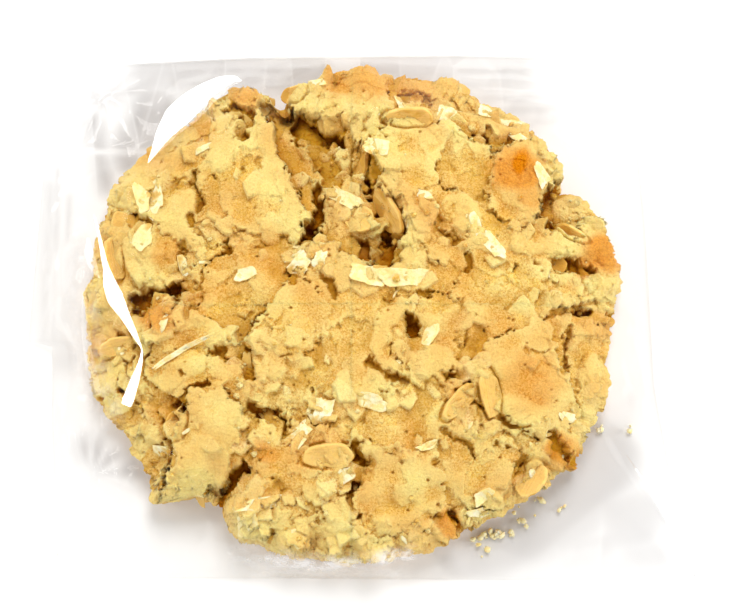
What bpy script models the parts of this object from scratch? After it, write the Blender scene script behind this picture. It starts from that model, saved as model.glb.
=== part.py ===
"""A toasted coconut cookie, about 95 mm across and 18 mm thick, in its clear film bag.

Two solids stand on the plane z = 0, with the origin at the middle of the bag's base.
cookie    the baked disc: cracked crust plates, crevices between them, and the oat
          flakes and coconut chips that show, all joined into one solid
film_bag  the bag's flat margin round the cookie, which meets the cookie with a small gap

The plan of the cookie is written in millimetres from the cookie's own centre, with x to
the right and y away from the viewer. Meshes are made in metres.
"""

import math

import bmesh
import bpy
import numpy as np
from mathutils import Euler, Matrix, Vector

MM = 0.001

# The baked disc, in millimetres.
COOKIE_LENGTH = 94.2  # along X
COOKIE_WIDTH = 88.2  # along Y
DOME_HEIGHT = 15.2  # of the smooth dome at the centre, before plates and lumps
FOOT_HEIGHT = 2.6  # where the side is widest
FOOT_TUCK = 2.2  # how far the side curls in below that
DOME_POWER = 2.5  # superellipse power: higher is a flatter top with a steeper side
GRID_CELLS = 190  # cells along each side of the grid that is bent into the disc
TOP_SHARE = 0.95  # share of the grid's half width that the top takes, down to the foot
BASE_SNAP = 0.05  # points lower than this are laid on the base
RING_CROWDING = 0.45  # how much the rings crowd together towards the steep side
DOUGH_TRIANGLES = 7600  # kept of the fine grid's, most of them at the cliffs and crevices

# How the surface breaks up. Waves are given as height, cell and seed of their noise.
OUTLINE_WAVES = ((0.7, 5.5, 31), (0.3, 2.4, 32))
TOP_LUMPS = ((0.7, 8.0, 5), (0.5, 3.6, 6), (0.22, 1.8, 7))
RAGGED_X = ((0.7, 4.0, 1), (0.3, 1.7, 2))
RAGGED_Y = ((0.7, 4.0, 3), (0.3, 1.7, 4))
EDGE_SOFTNESS = 0.55  # half the width of a crevice's wall
PLATE_BLEND = 0.45  # how far the step between two plates spreads
PLATE_STEP = 1.35  # for each unit of a plate's lift and slope
RIM_LUMPS = ((1.3, 4.6, 8),)  # of the crumbly rim
RIM_LUMPS_FROM = (0.72, 0.95)  # shares of the radius over which they grow
RELIEF_FADE = (0.93, 1.0)  # shares of the radius over which all relief fades
SIDE_LUMPS = ((0.6, 4.2, 33),)  # of the steep side, measured outwards
SIDE_LUMPS_FROM = (0.75, 0.93)
SIDE_LUMPS_RISE = 2.0  # height over which they grow
SIDE_LUMPS_LEAN = (1.7, 2.3)  # how fast they change with height
FLAKE_SINK = 0.25  # share of a flake's thickness that lies in the dough

# The bag's margin.
MARGIN_GAP = 0.9  # clear of the cookie's widest line
MARGIN_THICK = 0.6  # at the bag's edge
MARGIN_RISE = 3.6  # more than that, beside the cookie, where the film comes down
MARGIN_RISE_WIDTH = 9.0  # over which it falls away
MARGIN_STEP = 3.0  # between points along the edge
MARGIN_SHARES = (0.0, 0.3, 0.65, 1.0)  # of the way from the cookie to the edge
MARGIN_FALL = 1.5  # power of the film's curve as it comes down
MARGIN_WAVES = ((0.12, 7.0, 21),)

# Notches and bulges of the cookie's outline: angle, depth (a bulge is negative), width in degrees.
NOTCHES = (
    (109, 5.2, 3.6),
    (102, 1.2, 4),
    (119, -1.4, 4),
    (149, -1.8, 13),
    (178, -0.6, 12),
    (-162, -0.9, 7),
    (-150, 0.8, 6),
    (-136, -2.9, 3.4),
    (-126, 3.6, 6),
    (-61, 1.0, 10),
    (-34, -1.4, 3),
    (-22, -1.0, 6),
    (-5, 1.2, 7),
    (13, -1.2, 9),
    (30.5, 3.4, 3),
    (66.5, -1.5, 3),
    (88, -0.5, 9),
)

# Crust plates: centre x, y, lift over the dome, slope along x and y.
PLATES = (
    (-17, 21, 1.0, 0.00, 0.00),
    (-19, 4, 0.1, 0.01, 0.03),
    (-36, 24, 0.2, 0.02, -0.02),
    (-29, 17, 0.6, 0.00, 0.02),
    (-36, 9, 0.0, -0.02, 0.02),
    (-29, -10, 0.8, 0.03, -0.03),
    (-24, -22, 1.5, -0.02, 0.00),
    (-36, -19, -0.6, 0.00, 0.04),
    (-9, -3, 1.0, 0.00, 0.02),
    (-2, -10, 0.5, 0.02, 0.00),
    (-14, -15, 0.2, 0.00, 0.05),
    (-15, -25, 0.4, 0.04, 0.00),
    (-11, -33, 0.8, 0.00, -0.03),
    (8, -30, 1.0, -0.02, 0.02),
    (9, -19, 0.6, 0.00, -0.03),
    (22, -27, 0.5, 0.03, 0.02),
    (31, -12, 1.5, -0.02, 0.01),
    (25, 3, 1.1, 0.02, 0.00),
    (13, 8, 0.9, -0.03, 0.02),
    (15, -5, 0.7, 0.00, -0.04),
    (11, 26, 1.4, -0.02, 0.02),
    (20, 24, 0.8, 0.00, 0.00),
    (29, 23, 1.9, 0.03, 0.02),
    (17, 16, 0.9, 0.02, 0.02),
    (0, 37, 0.7, 0.00, -0.03),
    (13, 40, 0.0, 0.00, 0.00),
    (26, 34, 0.0, 0.03, 0.03),
    (40, 20, -0.6, 0.00, 0.03),
    (39, 10, 1.0, 0.00, 0.00),
    (42, -8, 0.0, 0.00, 0.00),
    (-5, 26, -1.6, 0.00, 0.00),
    (3, 12, -1.2, 0.00, 0.00),
    (0, 4, 0.6, 0.00, -0.04),
    (-43, -8, -0.8, 0.00, 0.00),
)

# Crevices: the line of the floor as x, y points, then half width and depth.
CREVICES = (
    (((-21.5, 36.0), (-19, 34), (-18.8, 31.5)), 1.7, 4.2),
    (((-8, 32), (-2.5, 31.2)), 2.4, 3.6),
    (((-6, 28), (-3, 23)), 2.2, 1.6),
    (((-6, 21), (-5.6, 18), (-6.5, 14), (-8.3, 11)), 1.4, 4.6),
    (((2, 27), (4.5, 24), (2.6, 21.4)), 1.6, 4.6),
    (((3.6, 18.6), (5.2, 15), (6.6, 12)), 1.3, 3.6),
    (((3, 9.6), (8.2, 8.8)), 2.2, 2.4),
    (((9.6, -0.8), (10.6, -4), (11, -6.8)), 1.4, 4.6),
    (((3, -9.5), (5.2, -11.6), (9.4, -13.4)), 1.1, 3.6),
    (((16.6, -12), (20, -13)), 1.0, 3.8),
    (((19.6, 0), (19.4, -5), (18.4, -10)), 0.8, 2.6),
    (((-23, -8.4), (-19, -8), (-18, -12.4)), 1.9, 4.2),
    (((-17, -17.6), (-13, -19), (-11.6, -22)), 1.6, 4.2),
    (((-18.6, -28), (-20.6, -30.5), (-24, -32.4)), 1.5, 5.2),
    (((-37.6, 0), (-34, 1.4), (-31, 3.2)), 1.3, 4.6),
    (((-31, 3.2), (-29.6, 6.4), (-29.4, 11)), 0.8, 2.8),
    (((-27.4, 24), (-27, 20.6), (-26.6, 17)), 1.1, 2.8),
    (((-38.4, 16), (-36.6, 14.6)), 1.5, 3.2),
    (((-39, -8), (-39.6, -13)), 1.0, 2.6),
    (((-36, -15), (-32, -18.6), (-29, -17), (-25, -13.6)), 0.7, 2.2),
    (((-31, -19), (-31.6, -23), (-31, -27.4)), 1.2, 3.6),
    (((0.6, -24.4), (2, -27), (1.4, -30), (-0.4, -32), (0.4, -35.4)), 1.0, 4.4),
    (((35, -23), (36.4, -26)), 1.6, 4.0),
    (((30, -26.4), (28, -30.4)), 1.0, 2.4),
    (((39.6, -1.2), (41.8, -1.8)), 1.5, 4.6),
    (((38.2, -4), (37.4, -8), (36.6, -10.8)), 0.9, 2.8),
    (((35.6, 7), (38, 7.4), (41, 6.6)), 1.5, 3.8),
    (((33.6, 14.2), (37, 14), (40, 12.8)), 1.2, 4.0),
    (((35, 17.5), (39, 16.5)), 2.6, 1.6),
    (((23, 32), (24.6, 29.6), (27.2, 30)), 1.5, 3.4),
    (((9, 38.4), (13, 38)), 1.0, 2.2),
    (((16.5, 12), (18, 11.5)), 1.1, 2.6),
    (((-10, 5.6), (-9.6, 4)), 0.9, 2.0),
    (((16, -36.4), (17.6, -37)), 1.1, 2.4),
)

# Oat flakes: x, y, length, width, heading, then tilt and roll off level, in degrees.
OATS = (
    (10, 33.4, 8.5, 5.0, 0, 0, 48),
    (1.6, 26.6, 9.0, 4.6, 84, 0, -50),
    (6.4, 17.0, 9.5, 4.8, -64, 0, 52),
    (1.4, 15.4, 5.4, 4.6, -40, 12, 0),
    (-4, -26, 8.6, 4.4, 5, 0, 24),
    (18.6, -16.7, 8.2, 3.2, 49, -8, 18),
    (23.8, -15.5, 8.4, 3.6, -80, -8, -14),
    (31.2, -29.8, 6.6, 5.4, 62, 0, -30),
    (-41.2, -6.6, 6.6, 3.4, 17, 0, 26),
    (-30.6, -20.6, 5.6, 4.4, 70, 0, 14),
    (-42, 9, 8.0, 3.6, -78, 0, -34),
    (-40.2, 15.4, 5.4, 4.0, -20, 10, 0),
    (38.6, 13.2, 6.0, 3.0, -28, 0, 40),
    (36.2, 7.4, 3.6, 2.8, 10, 0, 0),
    (-10.5, 39.0, 4.6, 3.6, 30, 10, 10),
)

# Coconut chips and shreds: the same seven numbers.
CHIPS = (
    (4.7, 28.0, 4.7, 3.2, -12, 8, 0),
    (-35.2, 19.6, 5.8, 2.4, -80, -10, 10),
    (-37.2, 19.4, 5.0, 1.8, -66, -12, 0),
    (-37, 12.2, 4.6, 3.4, 30, 10, 8),
    (-8.8, 7.4, 4.6, 3.4, 60, 12, 0),
    (-5.4, 7.6, 3.6, 2.2, 78, 8, 0),
    (-18.3, 5.2, 3.8, 2.2, 10, 8, 0),
    (-6.6, 10.4, 4.0, 1.8, -10, 10, 0),
    (3.0, 4.4, 6.4, 3.4, -24, 6, 8),
    (9.6, 4.8, 7.6, 3.6, 8, 6, 6),
    (-1.4, 19.4, 7.6, 2.8, -38, 8, 14),
    (16.5, 34.6, 3.8, 3.4, 60, 14, 0),
    (19.6, 34.6, 4.2, 3.2, -62, -12, 0),
    (29, 32.8, 6.6, 4.4, -34, 0, 10),
    (24.2, 36.0, 3.0, 2.6, 0, 0, 0),
    (19.2, 41.2, 4.4, 3.2, -30, 0, 12),
    (8.6, 36.8, 3.4, 1.4, -70, 8, 0),
    (-6.4, 41.2, 3.4, 1.8, -10, 6, 0),
    (-15.6, 37.2, 3.8, 2.2, 52, 8, 0),
    (24.2, 10.6, 6.2, 2.8, -54, 6, 14),
    (13.4, -6.0, 5.6, 2.2, 66, 10, -16),
    (-5.0, -18.6, 5.8, 3.6, 70, 8, 6),
    (-9.0, -22.6, 5.4, 3.4, 40, 10, 0),
    (3.6, -17.0, 5.8, 2.8, -8, 6, 6),
    (13.0, -24.4, 4.2, 1.6, 20, 8, 0),
    (-13.6, -33.8, 10.8, 2.4, 8, 4, 8),
    (-26.8, -32.2, 4.8, 1.4, -76, -16, 0),
    (-18.0, -9.6, 3.6, 2.0, 84, 20, 0),
    (-1.0, -29.6, 3.4, 2.6, 20, 8, 0),
    (-30.4, -7.6, 13.5, 1.6, 28, 0, 0),
    (22.6, -33.0, 4.4, 2.2, 30, -6, 10),
    (22.0, -35.6, 3.6, 1.6, 8, -6, 14),
    (-18.0, -37.4, 4.4, 4.0, 30, 6, 0),
    (12.4, 19.4, 4.0, 1.6, -14, 12, 0),
    (33.4, 22.8, 4.6, 2.4, -66, 0, 16),
)

OAT_THICK = 1.0
CHIP_THICK = 0.9
OAT_SIDES = 9
CHIP_SIDES = 6
FLAKE_TOP = 0.84  # the top's size as a share of the underside's
FLAKE_UNEVEN = 0.16  # how far a flake's corners leave its oval
FLAKE_STAND = 0.225  # a steep flake's middle rises by this share of its width
SMALL_FLAKES = 26
SMALL_FLAKE_SEED = 11
SMALL_FLAKE_REACH = 0.84  # share of the radius that they keep to
SMALL_FLAKE_SPACING = 5.0
SMALL_FLAKE_LENGTH = (2.2, 4.0)
SMALL_FLAKE_WIDTH = 0.62  # share of the length
SMALL_FLAKE_TILT = 14  # degrees at most
SMALL_FLAKE_CREVICE = 0.2  # none lies where a crevice is deeper
NOISE_TABLE = 64

# The bag's outline round the cookie's centre. The step at the left is its folded flap.
BAG_OUTLINE = (
    (-50.5, 46.5), (-18, 48.2), (20, 48.6), (43, 48.0), (51.5, 44.5), (53.5, 20.0),
    (54.5, -12.0), (57.5, -32.0), (61.0, -46.6), (28, -47.4), (-12, -47.0), (-42, -47.2),
    (-52.5, -43.0), (-54.0, -22.0), (-54.2, -7.0), (-58.6, -6.6), (-56.4, 31.4), (-52.2, 31.6),
)  # fmt: skip


def noise(x, y, cell, seed):
    """Gradient noise from about -1 to 1, with one bump to each cell millimetres."""
    angles = np.random.default_rng(seed).random((NOISE_TABLE, NOISE_TABLE)) * math.tau
    u, v = x / cell, y / cell
    column, row = np.floor(u).astype(int), np.floor(v).astype(int)
    u, v = u - column, v - row
    smooth_u = u * u * u * (u * (u * 6 - 15) + 10)
    smooth_v = v * v * v * (v * (v * 6 - 15) + 10)

    def corner(i, j):
        angle = angles[(column + i) % NOISE_TABLE, (row + j) % NOISE_TABLE]
        return np.cos(angle) * (u - i) + np.sin(angle) * (v - j)

    near = corner(0, 0) * (1 - smooth_u) + corner(1, 0) * smooth_u
    far = corner(0, 1) * (1 - smooth_u) + corner(1, 1) * smooth_u
    return 1.5 * (near * (1 - smooth_v) + far * smooth_v)


def waves(x, y, layers):
    """The sum of several layers of noise, each with its height, cell and seed."""
    return sum(height * noise(x, y, cell, seed) for height, cell, seed in layers)


def smooth_step(low, high, value):
    """0 below low, 1 above high and a smooth ramp between them."""
    share = np.clip((value - low) / (high - low), 0, 1)
    return share * share * (3 - 2 * share)


def outline_radius(angle):
    """The cookie's widest radius at an angle: an ellipse with its notches and bulges."""
    half_length, half_width = COOKIE_LENGTH / 2, COOKIE_WIDTH / 2
    ellipse = half_length * half_width / np.hypot(
        half_width * np.cos(angle), half_length * np.sin(angle)
    )
    round_x, round_y = half_length * np.cos(angle), half_width * np.sin(angle)
    radius = ellipse + waves(round_x, round_y, OUTLINE_WAVES)
    for degrees, depth, width in NOTCHES:
        turn = (np.degrees(angle) - degrees + 180) % 360 - 180
        radius = radius - depth * np.exp(-((turn / width) ** 2))
    return radius


def ragged(x, y):
    """The plan point pushed about, so that every straight boundary turns ragged."""
    return x + waves(x, y, RAGGED_X), y + waves(x, y, RAGGED_Y)


def distance_to_line(x, y, points):
    """Distance from each plan point to a line of straight stretches."""
    nearest = np.full(np.shape(x), 1e9)
    for (ax, ay), (bx, by) in zip(points, points[1:]):
        run_x, run_y = bx - ax, by - ay
        along = ((x - ax) * run_x + (y - ay) * run_y) / (run_x**2 + run_y**2)
        along = np.clip(along, 0, 1)
        gap = np.hypot(x - ax - along * run_x, y - ay - along * run_y)
        nearest = np.minimum(nearest, gap)
    return nearest


def crevice_depth(x, y):
    """How far the crevices cut down at each plan point: the deepest one counts."""
    rough_x, rough_y = ragged(x, y)
    depth = np.zeros(np.shape(x))
    for points, half_width, deep in CREVICES:
        inside = half_width - distance_to_line(rough_x, rough_y, points)
        depth = np.maximum(depth, deep * smooth_step(-EDGE_SOFTNESS, EDGE_SOFTNESS, inside))
    return depth


def plate_lift(x, y):
    """The lift of the nearest crust plate, blended over a short step into its neighbours."""
    rough_x, rough_y = ragged(x, y)
    away_x = np.stack([rough_x - plate[0] for plate in PLATES])
    away_y = np.stack([rough_y - plate[1] for plate in PLATES])
    distance = np.hypot(away_x, away_y)
    weight = np.exp(-(distance - distance.min(axis=0)) / PLATE_BLEND)
    lift, slope_x, slope_y = (
        np.array([plate[i] for plate in PLATES]).reshape((-1,) + (1,) * np.ndim(x))
        for i in (2, 3, 4)
    )
    height = lift + slope_x * away_x + slope_y * away_y
    return (weight * height).sum(axis=0) / weight.sum(axis=0)


def top_height(x, y):
    """Height of the cookie's top over the base plane, for plan points inside the outline."""
    share = np.hypot(x, y) / outline_radius(np.arctan2(y, x))
    dome = (1 - np.clip(share, 0, 1) ** DOME_POWER) ** (1 / DOME_POWER)
    crumble = smooth_step(*RIM_LUMPS_FROM, share) * waves(x, y, RIM_LUMPS)
    relief = PLATE_STEP * plate_lift(x, y) + waves(x, y, TOP_LUMPS) + crumble - crevice_depth(x, y)
    fade = 1 - smooth_step(*RELIEF_FADE, share)
    return FOOT_HEIGHT + (DOME_HEIGHT - FOOT_HEIGHT) * dome + relief * fade


def disc_from_square(u, v):
    """A square of -1 to 1 bent into a disc: squares become rings. Gives the share and angle."""
    share = np.maximum(np.abs(u), np.abs(v))
    safe = np.where(share == 0, 1, share)
    wide = np.abs(u) >= np.abs(v)
    quarter = math.pi / 4
    along_x = np.where(u >= 0, 0.0, math.pi) + quarter * v / safe * np.sign(u)
    along_y = math.pi / 2 * np.sign(v) - quarter * u / safe * np.sign(v)
    return share, np.where(wide, along_x, along_y)


def new_object(name, bm, collection, material=None):
    """A mesh object from a bmesh, which is freed."""
    mesh = bpy.data.meshes.new(name)
    bm.to_mesh(mesh)
    bm.free()
    if material:
        mesh.materials.append(material)
    made = bpy.data.objects.new(name, mesh)
    collection.objects.link(made)
    return made


def make_material(name, colour, roughness):
    """A plain non-metal finish."""
    material = bpy.data.materials.new(name)
    material.use_nodes = True
    shader = material.node_tree.nodes["Principled BSDF"]
    shader.inputs["Base Color"].default_value = (*colour, 1.0)
    shader.inputs["Roughness"].default_value = roughness
    shader.inputs["Metallic"].default_value = 0.0
    return material


def make_dough(collection, material, centre):
    """The baked disc: a square grid bent over the dome and under the foot, then closed below."""
    bm = bmesh.new()
    bmesh.ops.create_grid(bm, x_segments=GRID_CELLS, y_segments=GRID_CELLS, size=1.0)
    bm.verts.ensure_lookup_table()
    grid = np.array([vertex.co[:2] for vertex in bm.verts])
    share, angle = disc_from_square(grid[:, 0], grid[:, 1])
    radius = outline_radius(angle)
    # The rings crowd together towards the foot, where the side drops steeply.
    top_share = np.clip(share / TOP_SHARE, 0, 1)
    crowded = np.sin(top_share * math.pi / 2) ** RING_CROWDING
    plan_share = crowded * top_share ** (1 - RING_CROWDING)
    x, y = plan_share * radius * np.cos(angle), plan_share * radius * np.sin(angle)
    z = top_height(x, y)
    below = smooth_step(TOP_SHARE, 1.0, share)
    tuck = 1 - FOOT_TUCK * below**1.5 / radius
    side = smooth_step(*SIDE_LUMPS_FROM, share) * smooth_step(0, SIDE_LUMPS_RISE, z)
    lean_x, lean_y = SIDE_LUMPS_LEAN
    tuck = tuck + side * waves(x + lean_x * z, y + lean_y * z, SIDE_LUMPS) / radius
    x, y, z = x * tuck, y * tuck, np.where(share > TOP_SHARE, FOOT_HEIGHT * (1 - below), z)
    points = np.stack([x - centre[0], y - centre[1], z], axis=1) * MM
    for vertex, point in zip(bm.verts, points):
        vertex.co = point
    rim = [edge for edge in bm.edges if edge.is_boundary]
    for vertex in {vertex for edge in rim for vertex in edge.verts}:
        vertex.co.z = 0.0
    bmesh.ops.holes_fill(bm, edges=rim, sides=0)
    bmesh.ops.triangulate(bm, faces=bm.faces)
    bmesh.ops.recalc_face_normals(bm, faces=bm.faces)
    keep = DOUGH_TRIANGLES / len(bm.faces)
    dough = new_object("cookie", bm, collection, material)
    thin = dough.modifiers.new("thin out", "DECIMATE")
    thin.ratio = keep
    apply_modifiers(dough)
    for vertex in dough.data.vertices:
        if vertex.co.z < BASE_SNAP * MM:
            vertex.co.z = 0.0
    return dough


def apply_modifiers(made):
    """Gives an object the mesh that its modifiers make of it."""
    graph = bpy.context.evaluated_depsgraph_get()
    result = bpy.data.meshes.new_from_object(made.evaluated_get(graph))
    made.modifiers.clear()
    made.data = result


def make_flake(collection, flake, thick, sides, centre):
    """One low plate with an uneven outline, let a little into the dough."""
    x, y, length, width, heading, tilt, roll = flake
    bm = bmesh.new()
    bmesh.ops.create_cone(
        bm,
        cap_ends=True,
        cap_tris=False,
        segments=sides,
        radius1=0.5,
        radius2=0.5 * FLAKE_TOP,
        depth=1.0,
        matrix=Matrix.Rotation(math.pi / sides, 4, "Z"),
    )
    draw = np.random.default_rng(abs(round(131 * x + 977 * y)))
    swell = 1 + FLAKE_UNEVEN * (2 * draw.random(sides) - 1)
    for vertex in bm.verts:
        side = round((math.atan2(vertex.co.y, vertex.co.x) / math.tau * sides - 0.5)) % sides
        vertex.co.xy *= swell[side]
    bmesh.ops.scale(bm, vec=(length * MM, width * MM, thick * MM), verts=bm.verts)
    # A steep flake stands on its edge, so its middle is higher.
    stand = FLAKE_STAND * width * math.sin(math.radians(abs(roll)))
    height = float(top_height(np.array(x * 1.0), np.array(y * 1.0)))
    lift = height + thick * (0.5 - FLAKE_SINK) + stand
    place = Matrix.Translation(Vector((x - centre[0], y - centre[1], lift)) * MM)
    turn = Euler((math.radians(roll), math.radians(-tilt), 0)).to_matrix().to_4x4()
    bm.transform(place @ Matrix.Rotation(math.radians(heading), 4, "Z") @ turn)
    return new_object("flake", bm, collection)


def small_flakes():
    """Little chips scattered by a seeded draw over the plates, away from the rim."""
    draw = np.random.default_rng(SMALL_FLAKE_SEED)
    made = []
    while len(made) < SMALL_FLAKES:
        angle, share = draw.random() * math.tau, math.sqrt(draw.random()) * SMALL_FLAKE_REACH
        radius = share * float(outline_radius(np.array(angle)))
        x, y = radius * math.cos(angle), radius * math.sin(angle)
        shortest, longest = SMALL_FLAKE_LENGTH
        length = shortest + (longest - shortest) * draw.random()
        heading, tilt = 180 * draw.random(), SMALL_FLAKE_TILT * draw.random()
        if float(crevice_depth(np.array(x), np.array(y))) > SMALL_FLAKE_CREVICE:
            continue
        others = (*made, *OATS, *CHIPS)
        if any(math.hypot(x - other[0], y - other[1]) < SMALL_FLAKE_SPACING for other in others):
            continue
        made.append((x, y, length, SMALL_FLAKE_WIDTH * length, heading, tilt, 0))
    return made


def drop_scraps(mesh):
    """Keeps only the largest connected body of a mesh."""
    bm = bmesh.new()
    bm.from_mesh(mesh)
    left, bodies = set(bm.verts), []
    while left:
        front = {left.pop()}
        body = set(front)
        while front:
            front = {e.other_vert(v) for v in front for e in v.link_edges} - body
            body |= front
        left -= body
        bodies.append(body)
    keep = max(bodies, key=len)
    bmesh.ops.delete(bm, geom=[v for v in bm.verts if v not in keep], context="VERTS")
    bm.to_mesh(mesh)
    bm.free()


def fuse(solid, toppings):
    """Joins every object of a collection to the solid, then removes them."""
    union = solid.modifiers.new("fuse", "BOOLEAN")
    union.operation = "UNION"
    union.solver = "MANIFOLD"
    union.operand_type = "COLLECTION"
    union.collection = toppings
    apply_modifiers(solid)
    for topping in list(toppings.objects):
        bpy.data.objects.remove(topping)
    bpy.data.collections.remove(toppings)
    drop_scraps(solid.data)


def bag_edge():
    """Points at even steps along the bag's outline, its corners among them."""
    points = []
    corners = np.array(BAG_OUTLINE)
    for start, end in zip(corners, np.roll(corners, -1, axis=0)):
        steps = max(1, round(float(np.hypot(*(end - start))) / MARGIN_STEP))
        points += [start + (end - start) * step / steps for step in range(steps)]
    return np.array(points)


def make_margin(collection, material, edge, centre):
    """The flat margin: a loft from round the cookie's foot out to the bag's edge."""
    angle = np.arctan2(edge[:, 1], edge[:, 0])
    foot = outline_radius(angle) + MARGIN_GAP
    inner = np.stack([foot * np.cos(angle), foot * np.sin(angle)], axis=1)
    reach = np.hypot(*(edge - inner).T)
    rise = MARGIN_RISE * np.clip(reach / MARGIN_RISE_WIDTH, 0, 1)
    loops = []
    for share in MARGIN_SHARES:
        plan = inner + (edge - inner) * share
        fall = np.clip(1 - share * np.maximum(reach / MARGIN_RISE_WIDTH, 1), 0, 1)
        wrinkles = waves(plan[:, 0], plan[:, 1], MARGIN_WAVES)
        loops.append((plan, MARGIN_THICK + rise * fall**MARGIN_FALL + wrinkles))
    loops += [(edge, np.zeros(len(edge))), (inner, np.zeros(len(edge)))]
    bm = bmesh.new()
    rings = []
    for plan, height in loops:
        points = np.column_stack([plan - centre, height]) * MM
        rings.append([bm.verts.new(point) for point in points])
    for ring, following in zip(rings, rings[1:] + rings[:1]):
        for i in range(len(ring)):
            j = (i + 1) % len(ring)
            bm.faces.new((ring[i], ring[j], following[j], following[i]))
    bmesh.ops.recalc_face_normals(bm, faces=bm.faces)
    return new_object("film_bag", bm, collection, material)


def main():
    for leftover in list(bpy.data.objects):
        bpy.data.objects.remove(leftover)
    parts = bpy.data.collections.new("toasted_coconut_cookie")
    toppings = bpy.data.collections.new("toppings")
    for collection in (parts, toppings):
        bpy.context.scene.collection.children.link(collection)

    baked = make_material("baked_crust", (0.78, 0.50, 0.16), 0.75)
    clear = make_material("clear_film", (0.90, 0.90, 0.92), 0.12)
    edge = bag_edge()
    centre = (edge.min(axis=0) + edge.max(axis=0)) / 2

    cookie = make_dough(parts, baked, centre)
    for flake in OATS:
        make_flake(toppings, flake, OAT_THICK, OAT_SIDES, centre)
    for flake in (*CHIPS, *small_flakes()):
        make_flake(toppings, flake, CHIP_THICK, CHIP_SIDES, centre)
    fuse(cookie, toppings)
    make_margin(parts, clear, edge, centre)


main()
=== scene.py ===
# %% [markdown]
# # A toasted coconut cookie in its clear film bag
#
# The cookie is a baked disc about 95 mm wide. Its top has set into smooth golden plates, which
# cracked apart while the dough spread, so that crumb, oat flakes and coconut show between them.
# The bag is one thin crumpled film that lies over and under the cookie.
#
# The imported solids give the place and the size. The pieces below stand where they stand. Plan
# coordinates are in millimetres from the cookie's own centre, as in the part's source.

# %% Load the frame and note its box
import math

import bpy
import numpy as np
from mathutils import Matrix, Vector


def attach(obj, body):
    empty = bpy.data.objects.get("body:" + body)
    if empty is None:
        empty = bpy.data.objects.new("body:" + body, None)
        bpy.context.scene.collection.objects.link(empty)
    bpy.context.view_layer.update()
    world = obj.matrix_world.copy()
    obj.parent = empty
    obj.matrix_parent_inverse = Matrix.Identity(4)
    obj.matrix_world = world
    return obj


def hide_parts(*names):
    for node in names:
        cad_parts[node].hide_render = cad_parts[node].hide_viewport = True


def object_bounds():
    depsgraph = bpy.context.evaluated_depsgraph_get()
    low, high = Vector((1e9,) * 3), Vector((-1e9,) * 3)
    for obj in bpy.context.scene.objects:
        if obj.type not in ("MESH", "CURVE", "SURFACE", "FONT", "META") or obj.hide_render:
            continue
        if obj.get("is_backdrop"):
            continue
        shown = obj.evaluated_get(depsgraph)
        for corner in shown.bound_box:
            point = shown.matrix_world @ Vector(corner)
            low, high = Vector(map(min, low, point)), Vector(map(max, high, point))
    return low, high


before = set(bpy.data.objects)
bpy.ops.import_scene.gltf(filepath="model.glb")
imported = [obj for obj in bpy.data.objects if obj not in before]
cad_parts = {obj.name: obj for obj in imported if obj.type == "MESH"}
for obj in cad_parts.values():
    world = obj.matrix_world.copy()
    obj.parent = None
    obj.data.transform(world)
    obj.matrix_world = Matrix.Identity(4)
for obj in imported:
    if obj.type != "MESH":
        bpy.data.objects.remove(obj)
solid_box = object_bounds()
MM = 0.001
TAU = math.tau
print("solids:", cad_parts)

# %% [markdown]
# ## Where the cookie lies
#
# The frame's origin is the middle of the bag, and the cookie is a little to one side of it. The
# bag's outline, repeated from the part, gives that shift.

# %% The bag's outline and the cookie's centre
BAG_OUTLINE = np.array([
    (-50.5, 46.5), (-18, 48.2), (20, 48.6), (43, 48.0), (51.5, 44.5), (53.5, 20.0),
    (54.5, -12.0), (57.5, -32.0), (61.0, -46.6), (28, -47.4), (-12, -47.0), (-42, -47.2),
    (-52.5, -43.0), (-54.0, -22.0), (-54.2, -7.0), (-58.6, -6.6), (-56.4, 31.4), (-52.2, 31.6),
])  # fmt: skip
BAG_CENTRE = (BAG_OUTLINE.min(axis=0) + BAG_OUTLINE.max(axis=0)) / 2
print("cookie's centre from the bag's:", -BAG_CENTRE, "mm")

# %% [markdown]
# ## Noise and soft steps
#
# Almost everything on a baked surface is uneven at several scales at once. One gradient noise,
# which works on whole arrays, gives all of it: used plainly for swells, folded by its absolute
# value for puffy lumps, and added to the plan coordinates to make a straight edge ragged.

# %% Array helpers for uneven shapes
NOISE_TABLE = 64


def noise(x, y, cell, seed):
    """Gradient noise, about -1 to 1: blends the slopes at the four corners of each cell."""
    angles = np.random.default_rng(seed).random((NOISE_TABLE, NOISE_TABLE)) * TAU
    u, v = x / cell, y / cell
    column, row = np.floor(u).astype(int), np.floor(v).astype(int)
    u, v = u - column, v - row
    smooth_u = u * u * u * (u * (u * 6 - 15) + 10)
    smooth_v = v * v * v * (v * (v * 6 - 15) + 10)

    def corner(i, j):
        """The height at the point of a plane through that corner, sloping its own way."""
        angle = angles[(column + i) % NOISE_TABLE, (row + j) % NOISE_TABLE]
        return np.cos(angle) * (u - i) + np.sin(angle) * (v - j)

    near = corner(0, 0) * (1 - smooth_u) + corner(1, 0) * smooth_u
    far = corner(0, 1) * (1 - smooth_u) + corner(1, 1) * smooth_u
    return 1.5 * (near * (1 - smooth_v) + far * smooth_v)


def smooth_step(low, high, value):
    """0 below low, 1 above high, and 3t^2 - 2t^3 between them."""
    share = np.clip((value - low) / (high - low), 0, 1)
    return share * share * (3 - 2 * share)


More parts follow.
